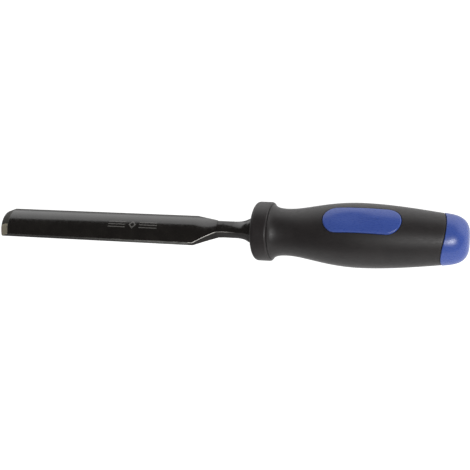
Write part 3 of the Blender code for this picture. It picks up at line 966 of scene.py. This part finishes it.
    def shoulder_rings(self) -> list[Ring]:
        """Rings from the corners of the shoulder to the end of its land.

        The ridge leaves the blade level, and does most of its climb in the second half.

        Returns:
            The rings, narrowing from the blade's width to the land's.
        """
        end_half = self.shoulder_end_width / 2
        taper = self.half_width - end_half
        third = self.shoulder_length / 3
        curve = bezier(
            (self.shoulder_x, self.half_width),
            (self.shoulder_x + third, self.half_width - self.shoulder_fall * taper),
            (self.shoulder_end_x - third, end_half + (1 - 2 * self.shoulder_fall) * taper),
            (self.shoulder_end_x, end_half),
            self.shoulder_steps,
        )
        rings = []
        for x, half in curve:
            share = min(1.0, (x - self.shoulder_x) / self.shoulder_length)
            top = self.arch_height + self.shoulder_rise * share * share * (2 - share)
            side_top = top - self.outer_radius + math.sqrt(self.outer_radius**2 - half**2)
            bottom = self.wing_z + (-self.neck_bottom - self.wing_z) * share
            arris = self.arris + (self.neck_arris - self.arris) * share
            outline = self.section(half, top, side_top, bottom, NO_CHANNEL, arris, self.neck_arris)
            rings.append([Vector((x, y, z)) for y, z in outline])
        return rings

    def neck_section(self) -> list[Point]:
        """The parallel part of the neck.

        Returns:
            (y, z) points, as section gives them.
        """
        return self.section(
            self.neck_width / 2,
            self.neck_top,
            self.neck_side_top,
            -self.neck_bottom,
            NO_CHANNEL,
            self.neck_arris / 2,
            self.neck_arris,
        )

    def rounded(self, radius: float, share: float) -> list[Point]:
        """The neck's section moved by a share of the way onto a circle of this radius.

        Args:
            radius: The circle's radius.
            share: 0 for the neck's own section, 1 for the circle.

        Returns:
            The moved (y, z) points.
        """
        moved = []
        for y, z in self.neck_section():
            scale = 1 + share * (radius / math.hypot(y, z) - 1)
            moved.append((y * scale, z * scale))
        return moved

    def neck_rings(self) -> list[Ring]:
        """Rings from the step behind the shoulder to the bolster's seat in the collar.

        Returns:
            The rings: the step, the neck, the flare, and the bolster down to the tang's root.
        """
        step_x = self.shoulder_end_x + self.land_step_length
        top = self.arch_height + self.shoulder_rise - self.land_step
        half = (self.shoulder_end_width - self.land_step) / 2
        side_top = self.neck_side_top - self.land_step / 2
        heights = (top, side_top, -self.neck_bottom)
        first = self.section(half, *heights, NO_CHANNEL, self.arris, self.neck_arris)
        neck = self.neck_section()
        stations = [(step_x, first)]
        for i in range(1, self.neck_ease_steps + 1):
            share = i / self.neck_ease_steps
            ease = share * share * (3 - 2 * share)
            mixed = [
                (a[0] + (b[0] - a[0]) * ease, a[1] + (b[1] - a[1]) * ease) for a, b in zip(first, neck)
            ]
            stations.append((step_x + self.neck_ease_length * share, mixed))
        for i in range(self.flare_steps + 1):
            share = i / self.flare_steps
            reach = self.flare_reach * share
            size = self.flare_size + self.flare_radius - math.sqrt(self.flare_radius**2 - reach**2)
            roundness = min(1.0, self.roundness_at_flare + self.roundness_gain * share)
            stations.append((self.flare_x + reach, self.rounded(size, roundness)))
        seat_x = self.collar_front_x + self.bolster_seat_depth - CLEARANCE
        stations.append((seat_x, self.rounded(self.bolster_radius, 1.0)))
        stations.append((seat_x, self.rounded(self.tang_root_radius, 1.0)))
        return [[Vector((x, y, z)) for y, z in outline] for x, outline in stations]

    def tang_rings(self) -> list[Ring]:
        """Rings of the tang: its round root, its square taper and its blunt point.

        Returns:
            The rings, the tang's point last.
        """
        square_x = self.collar_front_x + self.bolster_seat_depth + self.tang_root_length
        end_x = square_x + self.tang_length
        places = [
            (square_x + CLEARANCE, self.tang_width_front),
            (end_x, self.tang_width_rear),
            (end_x + self.tang_point_length, self.tang_point_width),
        ]
        rings = [[Vector((square_x, y, z)) for y, z in self.rounded(self.tang_root_radius, 1.0)]]
        for x, width in places:
            half = width / 2
            arris = width * self.tang_arris
            outline = self.section(half, half, half * self.tang_crown, -half, NO_CHANNEL, arris, arris)
            rings.append([Vector((x, y, z)) for y, z in outline])
        return rings

    def build(self) -> bmesh.types.BMesh:
        """The whole forging, with its faces marked for the finishes.

        Returns:
            A closed bmesh. Its faces carry "arris", "flank" and "back", and the ground bevel has
            the second material.
        """
        blade = self.blade_rings()
        bm = lofted([*blade, *self.shoulder_rings(), *self.neck_rings(), *self.tang_rings()])
        ring_of = bm.verts.layers.int["ring"]
        column_of = bm.verts.layers.int["column"]
        arris = bm.faces.layers.float.new("arris")
        flank_reflection = bm.faces.layers.float.new("flank_reflection")
        back = bm.faces.layers.float.new("back")
        corner_end = self.arch_steps + self.corner_steps
        side_end = corner_end + self.side_steps
        heel_end = side_end + self.corner_steps
        total = len(blade[0])
        corners = [(self.arch_steps, corner_end), (side_end, heel_end)]
        sides = [(corner_end, side_end)]
        for spans in (corners, sides):
            spans += [(self.opposite(high, total), self.opposite(low, total)) for low, high in spans]
        for face in bm.faces:
            if len(face.verts) > 4:  # the cutting edge's flat and the tang's point
                continue
            rings = sorted({v[ring_of] for v in face.verts})
            columns = sorted({v[column_of] for v in face.verts})
            first = columns[0] if columns[-1] - columns[0] == 1 else columns[-1]
            outside = first < heel_end or first >= self.opposite(heel_end, total)
            if outside and rings[-1] <= self.bevel_rings:
                face.material_index = 1
                continue
            on_blade = rings[-1] < len(blade)
            behind_bevel = outside and rings[-1] == self.bevel_rings + 1
            corner = any(low <= first < high for low, high in corners)
            # arrises: wear and a painted highlight, weaker along the blade
            face[arris] = float(corner or behind_bevel) * (self.blade_wear_highlight if on_blade else 1.0)
            # the sides of the blade, where the painted reflection of the table goes
            face[flank_reflection] = float(on_blade and any(low <= first < high for low, high in sides))
            face[back] = float(first < self.arch_steps)
        return bm

    def dress(self) -> tuple[bpy.types.Material, bpy.types.Material]:
        """The oxide for the whole forging, and the finish of the ground bevel.

        Returns:
            Both materials, in the order of the faces' indices.
        """
        mark = MakersMark(x=self.shoulder_x - self.mark_before_shoulder)
        oxide = OxideFinish(mark, self.shoulder_x, self.edge_x, self.flare_x).make()
        return oxide, GroundFinish(self.edge_x).make()


@dataclass
class HandleSkin:
    """The handle's outer skin behind the collar."""

    collar_rear_x: float
    fillet_radius: float = 0.0148
    waist_radius: float = 0.01255
    waist_from_collar: float = 0.0084
    belly_radius: float = 0.01695
    belly_from_butt: float = 0.0550
    butt_shoulder_radius: float = 0.0128
    butt_rounding: float = 0.0096
    striking_face_radius: float = 0.0045
    fillet_reaches: Point = (0.19, 0.55)
    fillet_rise: float = 0.0003
    belly_reaches: Point = (0.26, 0.47)
    rear_reaches: Point = (0.32, 0.33)
    rear_fall_left: float = 0.48
    butt_reaches: Point = (0.56, 0.09)
    butt_drop: float = 0.0007
    butt_crown: float = 0.0062
    fillet_steps: int = 20
    belly_steps: int = 36
    rear_steps: int = 44
    butt_steps: int = 36
    outline: list[Point] = field(default_factory=list)

    def __post_init__(self) -> None:
        """Draws the outline from the collar to the striking face."""
        front = self.collar_rear_x + CLEARANCE
        waist_x = self.collar_rear_x + self.waist_from_collar
        belly_x = -self.belly_from_butt
        rear_x = -self.butt_rounding
        fillet = bezier(
            (front, self.fillet_radius),
            (front + self.fillet_reaches[0] * self.waist_from_collar, self.waist_radius + self.fillet_rise),
            (front + self.fillet_reaches[1] * self.waist_from_collar, self.waist_radius),
            (waist_x, self.waist_radius),
            self.fillet_steps,
        )
        span = belly_x - waist_x
        belly = bezier(
            (waist_x, self.waist_radius),
            (waist_x + self.belly_reaches[0] * span, self.waist_radius),
            (belly_x - self.belly_reaches[1] * span, self.belly_radius),
            (belly_x, self.belly_radius),
            self.belly_steps,
        )
        span = rear_x - belly_x
        fall = self.belly_radius - self.butt_shoulder_radius
        rear = bezier(
            (belly_x, self.belly_radius),
            (belly_x + self.rear_reaches[0] * span, self.belly_radius),
            (rear_x - self.rear_reaches[1] * span, self.butt_shoulder_radius + self.rear_fall_left * fall),
            (rear_x, self.butt_shoulder_radius),
            self.rear_steps,
        )
        butt = bezier(
            (rear_x, self.butt_shoulder_radius),
            (-self.butt_reaches[0] * self.butt_rounding, self.butt_shoulder_radius - self.butt_drop),
            (-self.butt_reaches[1] * self.butt_rounding, self.striking_face_radius + self.butt_crown),
            (0.0, self.striking_face_radius),
            self.butt_steps,
        )
        self.outline = fillet + belly[1:] + rear[1:] + butt[1:]

    def radius(self, x: float) -> float:
        """The skin's radius at x.

        Args:
            x: The place along the axis.

        Returns:
            The radius there.
        """
        for (x0, r0), (x1, r1) in zip(self.outline, self.outline[1:]):
            if x <= x1:
                return r0 + (r1 - r0) * max(0.0, x - x0) / (x1 - x0)
        return self.outline[-1][1]

    def between(self, start: float, end: float) -> list[Point]:
        """The skin's points from one place to another, with a point at each end."""
        inner = [p for p in self.outline if start + SLIVER < p[0] < end - SLIVER]
        return [(start, self.radius(start)), *inner, (end, self.radius(end))]


@dataclass
class Parting:
    """The wavy line where the grip meets the cap."""

    skin: HandleSkin
    x: float
    wave: float = 0.0013
    reach: float = 0.0060
    wall: float = 0.0026

    def bend(self, bm: bmesh.types.BMesh) -> None:
        """Moves every vertex near the parting along the axis, and keeps the skin on the skin.

        Args:
            bm: The shape that is bent, which is round about the axis.
        """
        for vert in bm.verts:
            radius = math.hypot(vert.co.y, vert.co.z)
            away = abs(vert.co.x - self.x) / self.reach
            if away >= 1 or radius < MERGE:
                continue
            fade = (1 - away * away) ** 2
            depth = radius - self.skin.radius(vert.co.x)
            vert.co.x += self.wave * fade * (vert.co.z**2 - vert.co.y**2) / radius**2
            if depth > -self.wall / 2:
                grown = (self.skin.radius(vert.co.x) + depth) / radius
                vert.co.y *= grown
                vert.co.z *= grown


@dataclass
class RestPlane:
    """The surface that the tool is laid down on, which meets the collar and the belly inlay."""

    collar_x: float
    collar_depth: float
    belly_x: float
    belly_depth: float

    def depth(self, x: float) -> float:
        """How far the surface is below the axis at x."""
        slope = (self.belly_depth - self.collar_depth) / (self.belly_x - self.collar_x)
        return self.belly_depth + slope * (x - self.belly_x)


@dataclass
class Collar:
    """The black collar in front of the grip."""

    front_x: float
    rest: RestPlane
    seat_radius: float
    hole_radius: float
    length: float = 0.0092
    radius: float = 0.01585
    front_round: float = 0.0023
    rear_round: float = 0.0010
    dome: float = 0.0008
    wall: float = 0.0026
    bore: float = 0.0114
    seat_depth: float = 0.0008
    flat: float = 0.0003
    dome_leaves: float = 0.0020
    dome_arrives: Point = (0.35, 0.0008)
    face_steps: int = 10
    front_steps: int = 14
    body_steps: int = 6
    rear_steps: int = 10

    def build(self) -> bmesh.types.BMesh:
        """The turned collar, with a small flat underneath.

        Returns:
            A closed bmesh.
        """
        rear_x = self.front_x + self.length
        face = bezier(
            (self.front_x - self.dome, self.seat_radius),
            (self.front_x - self.dome, self.seat_radius + self.dome_leaves),
            (
                self.front_x - self.dome_arrives[0] * self.dome,
                self.radius - self.front_round - self.dome_arrives[1],
            ),
            (self.front_x, self.radius - self.front_round),
            self.face_steps,
        )
        front = arc(
            (self.front_x + self.front_round, self.radius - self.front_round),
            self.front_round,
            math.pi,
            math.pi / 2,
            self.front_steps,
        )
        rear = arc(
            (rear_x - self.rear_round, self.radius - self.rear_round),
            self.rear_round,
            math.pi / 2,
            0.0,
            self.rear_steps,
        )
        body = straight(front[-1], rear[0], self.body_steps)
        profile = [
            (self.front_x + self.seat_depth, self.hole_radius),
            (self.front_x + self.seat_depth, self.seat_radius),
            *face,
            *front[1:],
            *body[1:],
            *rear[1:],
            (rear_x, self.bore),
            (self.front_x + self.wall, self.bore),
            (self.front_x + self.wall, self.hole_radius),
        ]
        bm = turned(profile)
        for vert in bm.verts:
            vert.co.z = max(vert.co.z, -self.rest.depth(vert.co.x))
        return bm


@dataclass
class Stadium:
    """The outline of an inlay seen from above: a strip with round ends."""

    x: float
    length: float
    width: float
    arc_steps: int = 22
    side_steps: int = 30

    def loop(self, inset: float) -> list[Point]:
        """The outline moved inwards.

        Args:
            inset: How far inwards.

        Returns:
            (x, y) points round the outline, the first not repeated.
        """
        radius = self.width / 2 - inset
        half = (self.length - self.width) / 2
        rear = arc((self.x + half, 0.0), radius, -math.pi / 2, math.pi / 2, self.arc_steps)
        front = arc((self.x - half, 0.0), radius, math.pi / 2, 1.5 * math.pi, self.arc_steps)
        over = straight(rear[-1], front[0], self.side_steps)
        under = straight(front[-1], rear[0], self.side_steps)
        return rear[:-1] + over[:-1] + front[:-1] + under[:-1]

    def block(self, side: int, height: float) -> bmesh.types.BMesh:
        """An upright block of this outline, from the axis outwards on one side."""
        rings = [[Vector((x, y, side * z)) for x, y in self.loop(0.0)] for z in (0.0, height)]
        return lofted(rings)


@dataclass
class Grip:
    """The soft black grip moulded over the core."""

    skin: HandleSkin
    parting: Parting
    window: Stadium
    front_x: float
    rear_x: float
    wall: float = 0.0026
    rim: float = 0.00025
    rim_steps: int = 5
    lip: float = 0.00012
    lip_segments: int = 3
    lip_angle: float = math.radians(40)
    beyond_window: float = 0.0010
    below_skin: float = 0.0003

    def build(self) -> bmesh.types.BMesh:
        """The turned grip with its wavy end and both windows.

        Returns:
            A closed bmesh.
        """
        outer = self.skin.between(self.front_x, self.rear_x)
        rear_radius = outer[-1][1]
        centre = (self.rear_x - self.rim, rear_radius - self.rim)
        rim = arc(centre, self.rim, math.pi / 2, 0.0, self.rim_steps)
        outer = [p for p in outer if p[0] < self.rear_x - self.rim] + rim
        inner = [(x, r - self.wall) for x, r in reversed(self.skin.between(self.front_x, self.rear_x))]
        bm = turned(outer + inner)
        self.parting.bend(bm)
        for side in (1, -1):
            bm = cut(bm, self.window.block(side, 2 * self.skin.belly_radius))
        return self.soften_windows(bm)

    def soften_windows(self, bm: bmesh.types.BMesh) -> bmesh.types.BMesh:
        """Rounds over the rims that the windows leave in the skin.

        Args:
            bm: The grip with its windows cut.

        Returns:
            The same bmesh.
        """
        bmesh.ops.remove_doubles(bm, verts=bm.verts, dist=MERGE)
        put_in_order(bm)
        rims = []
        for edge in bm.edges:
            middle = (edge.verts[0].co + edge.verts[1].co) / 2
            near = abs(middle.x - self.window.x) < self.window.length / 2 + self.beyond_window
            outside = math.hypot(middle.y, middle.z) > self.skin.radius(middle.x) - self.below_skin
            sharp = len(edge.link_faces) == 2 and edge.calc_face_angle(0.0) > self.lip_angle
            if near and outside and sharp:
                rims.append(edge)
        corners = list(dict.fromkeys(v for edge in rims for v in edge.verts))
        bmesh.ops.remove_doubles(bm, verts=corners, dist=SLIVER)
        rims = [edge for edge in rims if edge.is_valid]
        bmesh.ops.bevel(
            bm,
            geom=rims,
            offset=self.lip,
            offset_type="OFFSET",
            affect="EDGES",
            segments=self.lip_segments,
            profile=0.5,
            material=-1,
            clamp_overlap=False,
        )
        return bm


@dataclass
class Inlay:
    """One blue inlay, standing just proud of the grip."""

    skin: HandleSkin
    outline: Stadium
    rest: RestPlane
    side: int
    proud: float = 0.0004
    wall: float = 0.0026
    edge_round: float = 0.0006
    flat_blend: float = 0.00012
    flat_past: float = 30.0
    round_steps: int = 8
    top_steps: int = 14

    def height(self, x: float, y: float, above: float) -> float:
        """Distance from the axis plane of the inlay's surface.

        Args:
            x: The place along the axis.
            y: The place across it.
            above: How far the surface is above the grip's skin.

        Returns:
            The height, eased onto the flat that the tool rests on.
        """
        round_height = math.sqrt((self.skin.radius(x) + above) ** 2 - y**2)
        flat = self.rest.depth(x)
        gap = (round_height - flat) / self.flat_blend
        if gap > self.flat_past:
            return flat
        return round_height - self.flat_blend * math.log1p(math.exp(gap))

    def build(self) -> bmesh.types.BMesh:
        """Concentric loops from the foot of the wall, over the rounded rim, to the middle.

        Returns:
            A closed bmesh.
        """
        levels = [(0.0, -self.wall), (0.0, self.proud - self.edge_round)]
        for i in range(1, self.round_steps + 1):
            angle = math.pi / 2 * i / self.round_steps
            rise = self.edge_round * (1 - math.sin(angle))
            levels.append((self.edge_round * (1 - math.cos(angle)), self.proud - rise))
        last = self.outline.width / 2 - SLIVER
        for i in range(1, self.top_steps + 1):
            inset = self.edge_round + (last - self.edge_round) * i / self.top_steps
            levels.append((inset, self.proud))
        rings = []
        for inset, above in levels:
            loop = self.outline.loop(inset)
            rings.append([Vector((x, y, self.side * self.height(x, y, above))) for x, y in loop])
        return self.with_floor(lofted(rings))

    def with_floor(self, bm: bmesh.types.BMesh) -> bmesh.types.BMesh:
        """Cuts the wide bottom face into strips, so that it follows the core below it.

        Args:
            bm: The inlay.

        Returns:
            The same bmesh.
        """
        floor = max(bm.faces, key=lambda f: f.calc_area() if len(f.verts) > 4 else 0.0)
        bmesh.ops.triangulate(bm, faces=[floor])
        return bm


@dataclass
class Cap:
    """The blue striking cap on the butt."""

    skin: HandleSkin
    parting: Parting
    front_x: float
    proud: float = 0.0002
    wall: float = 0.0026
    boss_length: float = 0.0040
    bore_radius: float = 0.0078
    bore_end_x: float = -0.0065
    rim: float = 0.00035
    rim_steps: int = 6
    before_face: float = 0.00002

    def build(self) -> bmesh.types.BMesh:
        """The turned cap, with a rounded, wavy front rim and a flat striking face.

        Returns:
            A closed bmesh.
        """
        outer = [(x, r + self.proud) for x, r in self.skin.between(self.front_x, 0.0)[1:-1]]
        front_radius = self.skin.radius(self.front_x) + self.proud
        centre = (self.front_x + self.rim, front_radius - self.rim)
        rim = arc(centre, self.rim, math.pi, math.pi / 2, self.rim_steps)
        outer = [p for p in outer if self.front_x + self.rim < p[0] < -self.before_face]
        boss = self.skin.radius(self.front_x) - self.wall - CLEARANCE
        boss_x = self.front_x - self.boss_length
        profile = [
            (self.bore_end_x, 0.0),
            (self.bore_end_x, self.bore_radius),
            (boss_x, self.bore_radius),
            (boss_x, boss),
            (self.front_x, boss),
            *rim,
            *outer,
            (0.0, self.skin.striking_face_radius),
            (0.0, 0.0),
        ]
        bm = turned(profile)
        self.parting.bend(bm)
        return bm


# ---------------------------------------------------------------- the studio


@dataclass
class Studio:
    """A white table, a dim room with one bright wall, a soft lamp and the camera."""

    rest: RestPlane
    target: Vector
    handle_x: float
    camera_place: Vector = field(default_factory=lambda: Vector((0.0220, -0.2277, 0.3897)))
    camera_right: Vector = field(default_factory=lambda: Vector((0.9508, 0.1929, -0.2422)))
    camera_up: Vector = field(default_factory=lambda: Vector((-0.0441, 0.8585, 0.5109)))
    lens: float = 66.78
    sensor: float = 36.0
    table_size: float = 6.0
    table_gap: float = 0.00002
    table_glow: float = 0.95
    table_mirrored: float = 0.85
    table_under_handle: float = 0.58
    table_far: Point = (0.02, 0.15)
    table_near: Point = (-0.012, 0.008)
    table_albedo: float = 0.42
    table_mottle: float = 0.97
    sky: float = 0.06
    wall: float = 1.50
    wall_top: float = math.radians(47.5)
    wall_blur: float = 0.01
    wall_fades_from: float = 0.35
    wall_at_top: float = 0.76
    wall_starts: Point = (0.0, 0.35)
    wall_ends: Point = (-0.85, -0.70)
    lamp_offset: tuple[float, float, float] = (0.47, -0.55, 0.63)
    lamp_size: Point = (0.40, 0.22)
    lamp_power: float = 5.0

    def camera(self) -> None:
        """Makes the scene's camera."""
        data = bpy.data.cameras.new("camera")
        data.lens, data.sensor_width = self.lens, self.sensor
        data.clip_start = 0.01
        camera = bpy.data.objects.new("camera", data)
        back = self.camera_right.cross(self.camera_up)
        turn = Matrix((self.camera_right, self.camera_up, back)).transposed().to_4x4()
        camera.matrix_world = Matrix.Translation(self.camera_place) @ turn
        bpy.context.scene.collection.objects.link(camera)
        bpy.context.scene.camera = camera

    def table(self) -> None:
        """Makes the pale table, which glows so that it stays white.

        Its reflections are set apart from what the camera sees: in them it is bright beyond the
        tool and under the handle, and dark elsewhere.
        """
        half = self.table_size / 2
        bm = bmesh.new()
        bmesh.ops.create_grid(bm, x_segments=1, y_segments=1, size=half)
        for vert in bm.verts:
            vert.co.z = -self.rest.depth(vert.co.x) - self.table_gap
        mesh = bpy.data.meshes.new("table")
        bm.to_mesh(mesh)
        bm.free()
        sheet = NodeSheet("white_table")
        faint = sheet.noise(9.0)
        tones = [(self.table_albedo * share,) * 3 for share in (1.0, self.table_mottle)]
        sheet.feed("Base Color", sheet.blend(faint, *tones))
        sheet.fix(Roughness=0.8, Specular_IOR_Level=0.0, Emission_Color=(1.0, 1.0, 1.0))
        path = sheet.tree.nodes.new("ShaderNodeLightPath")
        glossy = path.outputs["Is Glossy Ray"]
        far = sheet.span(sheet.axis("Y"), *self.table_far, 0.0, self.table_mirrored)
        near_from, near_to = (self.handle_x + reach for reach in self.table_near)
        near = sheet.span(sheet.axis("X"), near_from, near_to, 0.0, self.table_under_handle)
        mirrored = sheet.times(sheet.maths("MAXIMUM", far, near), glossy)
        seen = sheet.span(glossy, 0.0, 1.0, self.table_glow, 0.0)
        sheet.feed("Emission Strength", sheet.maths("ADD", seen, mirrored))
        mesh.materials.append(sheet.material)
        table = bpy.data.objects.new("table", mesh)
        bpy.context.scene.collection.objects.link(table)

    def world(self) -> None:
        """Makes a dim room with one bright wall beyond the tool. The camera sees it all as white.

        The wall stands on the +Y side. It dims towards its top edge, and fades out past the
        cutting edge.
        """
        world = bpy.data.worlds.new("studio")
        world.use_nodes = True
        tree = world.node_tree
        room = tree.nodes["Background"]
        room.inputs["Color"].default_value = (1, 1, 1, 1)
        place = tree.nodes.new("ShaderNodeTexCoord")
        axes = tree.nodes.new("ShaderNodeSeparateXYZ")
        tree.links.new(place.outputs["Generated"], axes.inputs[0])
        top = math.sin(self.wall_top)
        edges = (
            ("Z", top - self.wall_blur, top + self.wall_blur, 1.0, 0.0),
            ("Z", self.wall_fades_from, top, 1.0, self.wall_at_top),
            ("Y", *self.wall_starts, 0.0, 1.0),
            ("X", *self.wall_ends, 0.0, 1.0),
        )
        share = product(tree, *(ranged(tree, axes.outputs[axis], limits) for axis, *limits in edges))
        level = tree.nodes.new("ShaderNodeMapRange")
        level.inputs["To Min"].default_value = self.sky
        level.inputs["To Max"].default_value = self.wall
        tree.links.new(share, level.inputs["Value"])
        tree.links.new(level.outputs["Result"], room.inputs["Strength"])
        white = tree.nodes.new("ShaderNodeBackground")
        white.inputs["Color"].default_value = (1, 1, 1, 1)
        path = tree.nodes.new("ShaderNodeLightPath")
        mix = tree.nodes.new("ShaderNodeMixShader")
        tree.links.new(path.outputs["Is Camera Ray"], mix.inputs["Fac"])
        tree.links.new(room.outputs["Background"], mix.inputs[1])
        tree.links.new(white.outputs["Background"], mix.inputs[2])
        tree.links.new(mix.outputs["Shader"], tree.nodes["World Output"].inputs["Surface"])
        bpy.context.scene.world = world

    def lamp(self) -> None:
        """Hangs a soft oblong lamp, which looks at the target, above the camera's side."""
        data = bpy.data.lights.new("near_lamp", "AREA")
        data.shape, data.energy = "RECTANGLE", self.lamp_power
        data.size, data.size_y = self.lamp_size
        lamp = bpy.data.objects.new("near_lamp", data)
        away = Vector(self.lamp_offset)
        turn = away.to_track_quat("Z", "Y").to_matrix().to_4x4()
        lamp.matrix_world = Matrix.Translation(self.target + away) @ turn
        bpy.context.scene.collection.objects.link(lamp)

    def build(self) -> None:
        """Sets up everything, and a view transform that keeps white white."""
        bpy.context.scene.view_settings.view_transform = "Standard"
        self.camera()
        self.table()
        self.world()
        self.lamp()


# ---------------------------------------------------------------- assembly


class Tool:
    """The whole tool, built from the CAD pieces' own boxes."""

    inlay_length = 0.0406
    inlay_width = 0.0151
    inlay_from_belly = 0.0025

    def __init__(self) -> None:
        """Reads the places that the pieces share."""
        _, collar_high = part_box("front_collar")
        cap_low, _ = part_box("striking_cap")
        self.forging = Forging(collar_front_x=collar_high.x - Collar.length)
        self.skin = HandleSkin(collar_high.x)
        belly_x = -self.skin.belly_from_butt
        self.rest = RestPlane(
            self.forging.collar_front_x + Collar.front_round,
            Collar.radius - Collar.flat,
            belly_x,
            self.skin.belly_radius,
        )
        self.cap_front_x = cap_low.x + Cap.boss_length
        self.inlay_x = belly_x + self.inlay_from_belly

    def build_steel(self) -> None:
        """The forging, and the finish of the hoop."""
        Piece("gouge_blade_finished", "gouge_blade", Slot.BLACKENED_STEEL).place(
            self.forging.build(), *self.forging.dress()
        )
        repaint("ferrule_hoop", BrightSteelFinish().make())

    def build_collar(self) -> None:
        """The collar."""
        finish = MouldedFinish(
            name="collar_plastic",
            colour=(0.0200, 0.0165, 0.0165),
            tint=(0.0250, 0.0208, 0.0208),
            gloss=(0.36, 0.50),
            sheen=0.08,
        )
        collar = Collar(
            self.forging.collar_front_x,
            self.rest,
            self.forging.bolster_radius + CLEARANCE,
            self.forging.tang_root_radius + CLEARANCE,
        )
        piece = Piece("front_collar_finished", "front_collar", Slot.BLACK_PLASTIC)
        piece.place(collar.build(), finish.make())

    def build_grip(self) -> None:
        """The grip, and the finish of the core under it."""
        finish = MouldedFinish(
            name="grip_rubber",
            colour=(0.0150, 0.0124, 0.0124),
            tint=(0.0205, 0.0172, 0.0170),
            gloss=(0.42, 0.56),
            grain_depth=0.00002,
            sheen=0.17,
        )
        core = MouldedFinish(
            name="core_moulding",
            colour=(0.028, 0.028, 0.030),
            tint=(0.036, 0.036, 0.038),
            gloss=(0.45, 0.6),
        )
        grip = Grip(
            self.skin,
            Parting(self.skin, self.cap_front_x),
            Stadium(self.inlay_x, self.inlay_length, self.inlay_width),
            self.skin.collar_rear_x + CLEARANCE,
            self.cap_front_x - CLEARANCE,
        )
        Piece("grip_sleeve_finished", "grip_sleeve", Slot.BLACK_GRIP).place(grip.build(), finish.make())
        repaint("handle_core", core.make())

    def build_blue(self) -> None:
        """Both inlays and the cap."""
        finish = MouldedFinish(
            name="blue_moulding",
            colour=(0.052, 0.098, 0.385),
            tint=(0.058, 0.108, 0.410),
            gloss=(0.24, 0.34),
            grain_depth=0.000008,
        )
        blue = finish.make()
        length, width = (size - 2 * CLEARANCE for size in (self.inlay_length, self.inlay_width))
        outline = Stadium(self.inlay_x, length, width)
        for name, side in (("back_inlay", 1), ("belly_inlay", -1)):
            inlay = Inlay(self.skin, outline, self.rest, side)
            Piece(f"{name}_finished", name, Slot.BLUE_PLASTIC).place(inlay.build(), blue)
        cap = Cap(self.skin, Parting(self.skin, self.cap_front_x), self.cap_front_x)
        Piece("striking_cap_finished", "striking_cap", Slot.BLUE_PLASTIC).place(cap.build(), blue)


def repaint(node: str, material: bpy.types.Material) -> None:
    """Gives a CAD node that stays in view its finished material.

    Args:
        node: The node's name.
        material: Its new material.
    """
    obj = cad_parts[node]
    if not obj.material_slots:
        obj.data.materials.append(material)
    for slot in obj.material_slots:
        slot.material = material
    log.info("%s: repainted", node)


def main() -> None:
    """Builds the tool piece by piece, then the studio round it."""
    logging.basicConfig(level=logging.INFO, format="%(name)s: %(message)s")
    tool = Tool()
    tool.build_steel()
    tool.build_collar()
    tool.build_grip()
    tool.build_blue()
    low, high = CAD_BOX
    Studio(tool.rest, (low + high) / 2, tool.forging.collar_front_x).build()


if __name__ == "__main__":
    main()
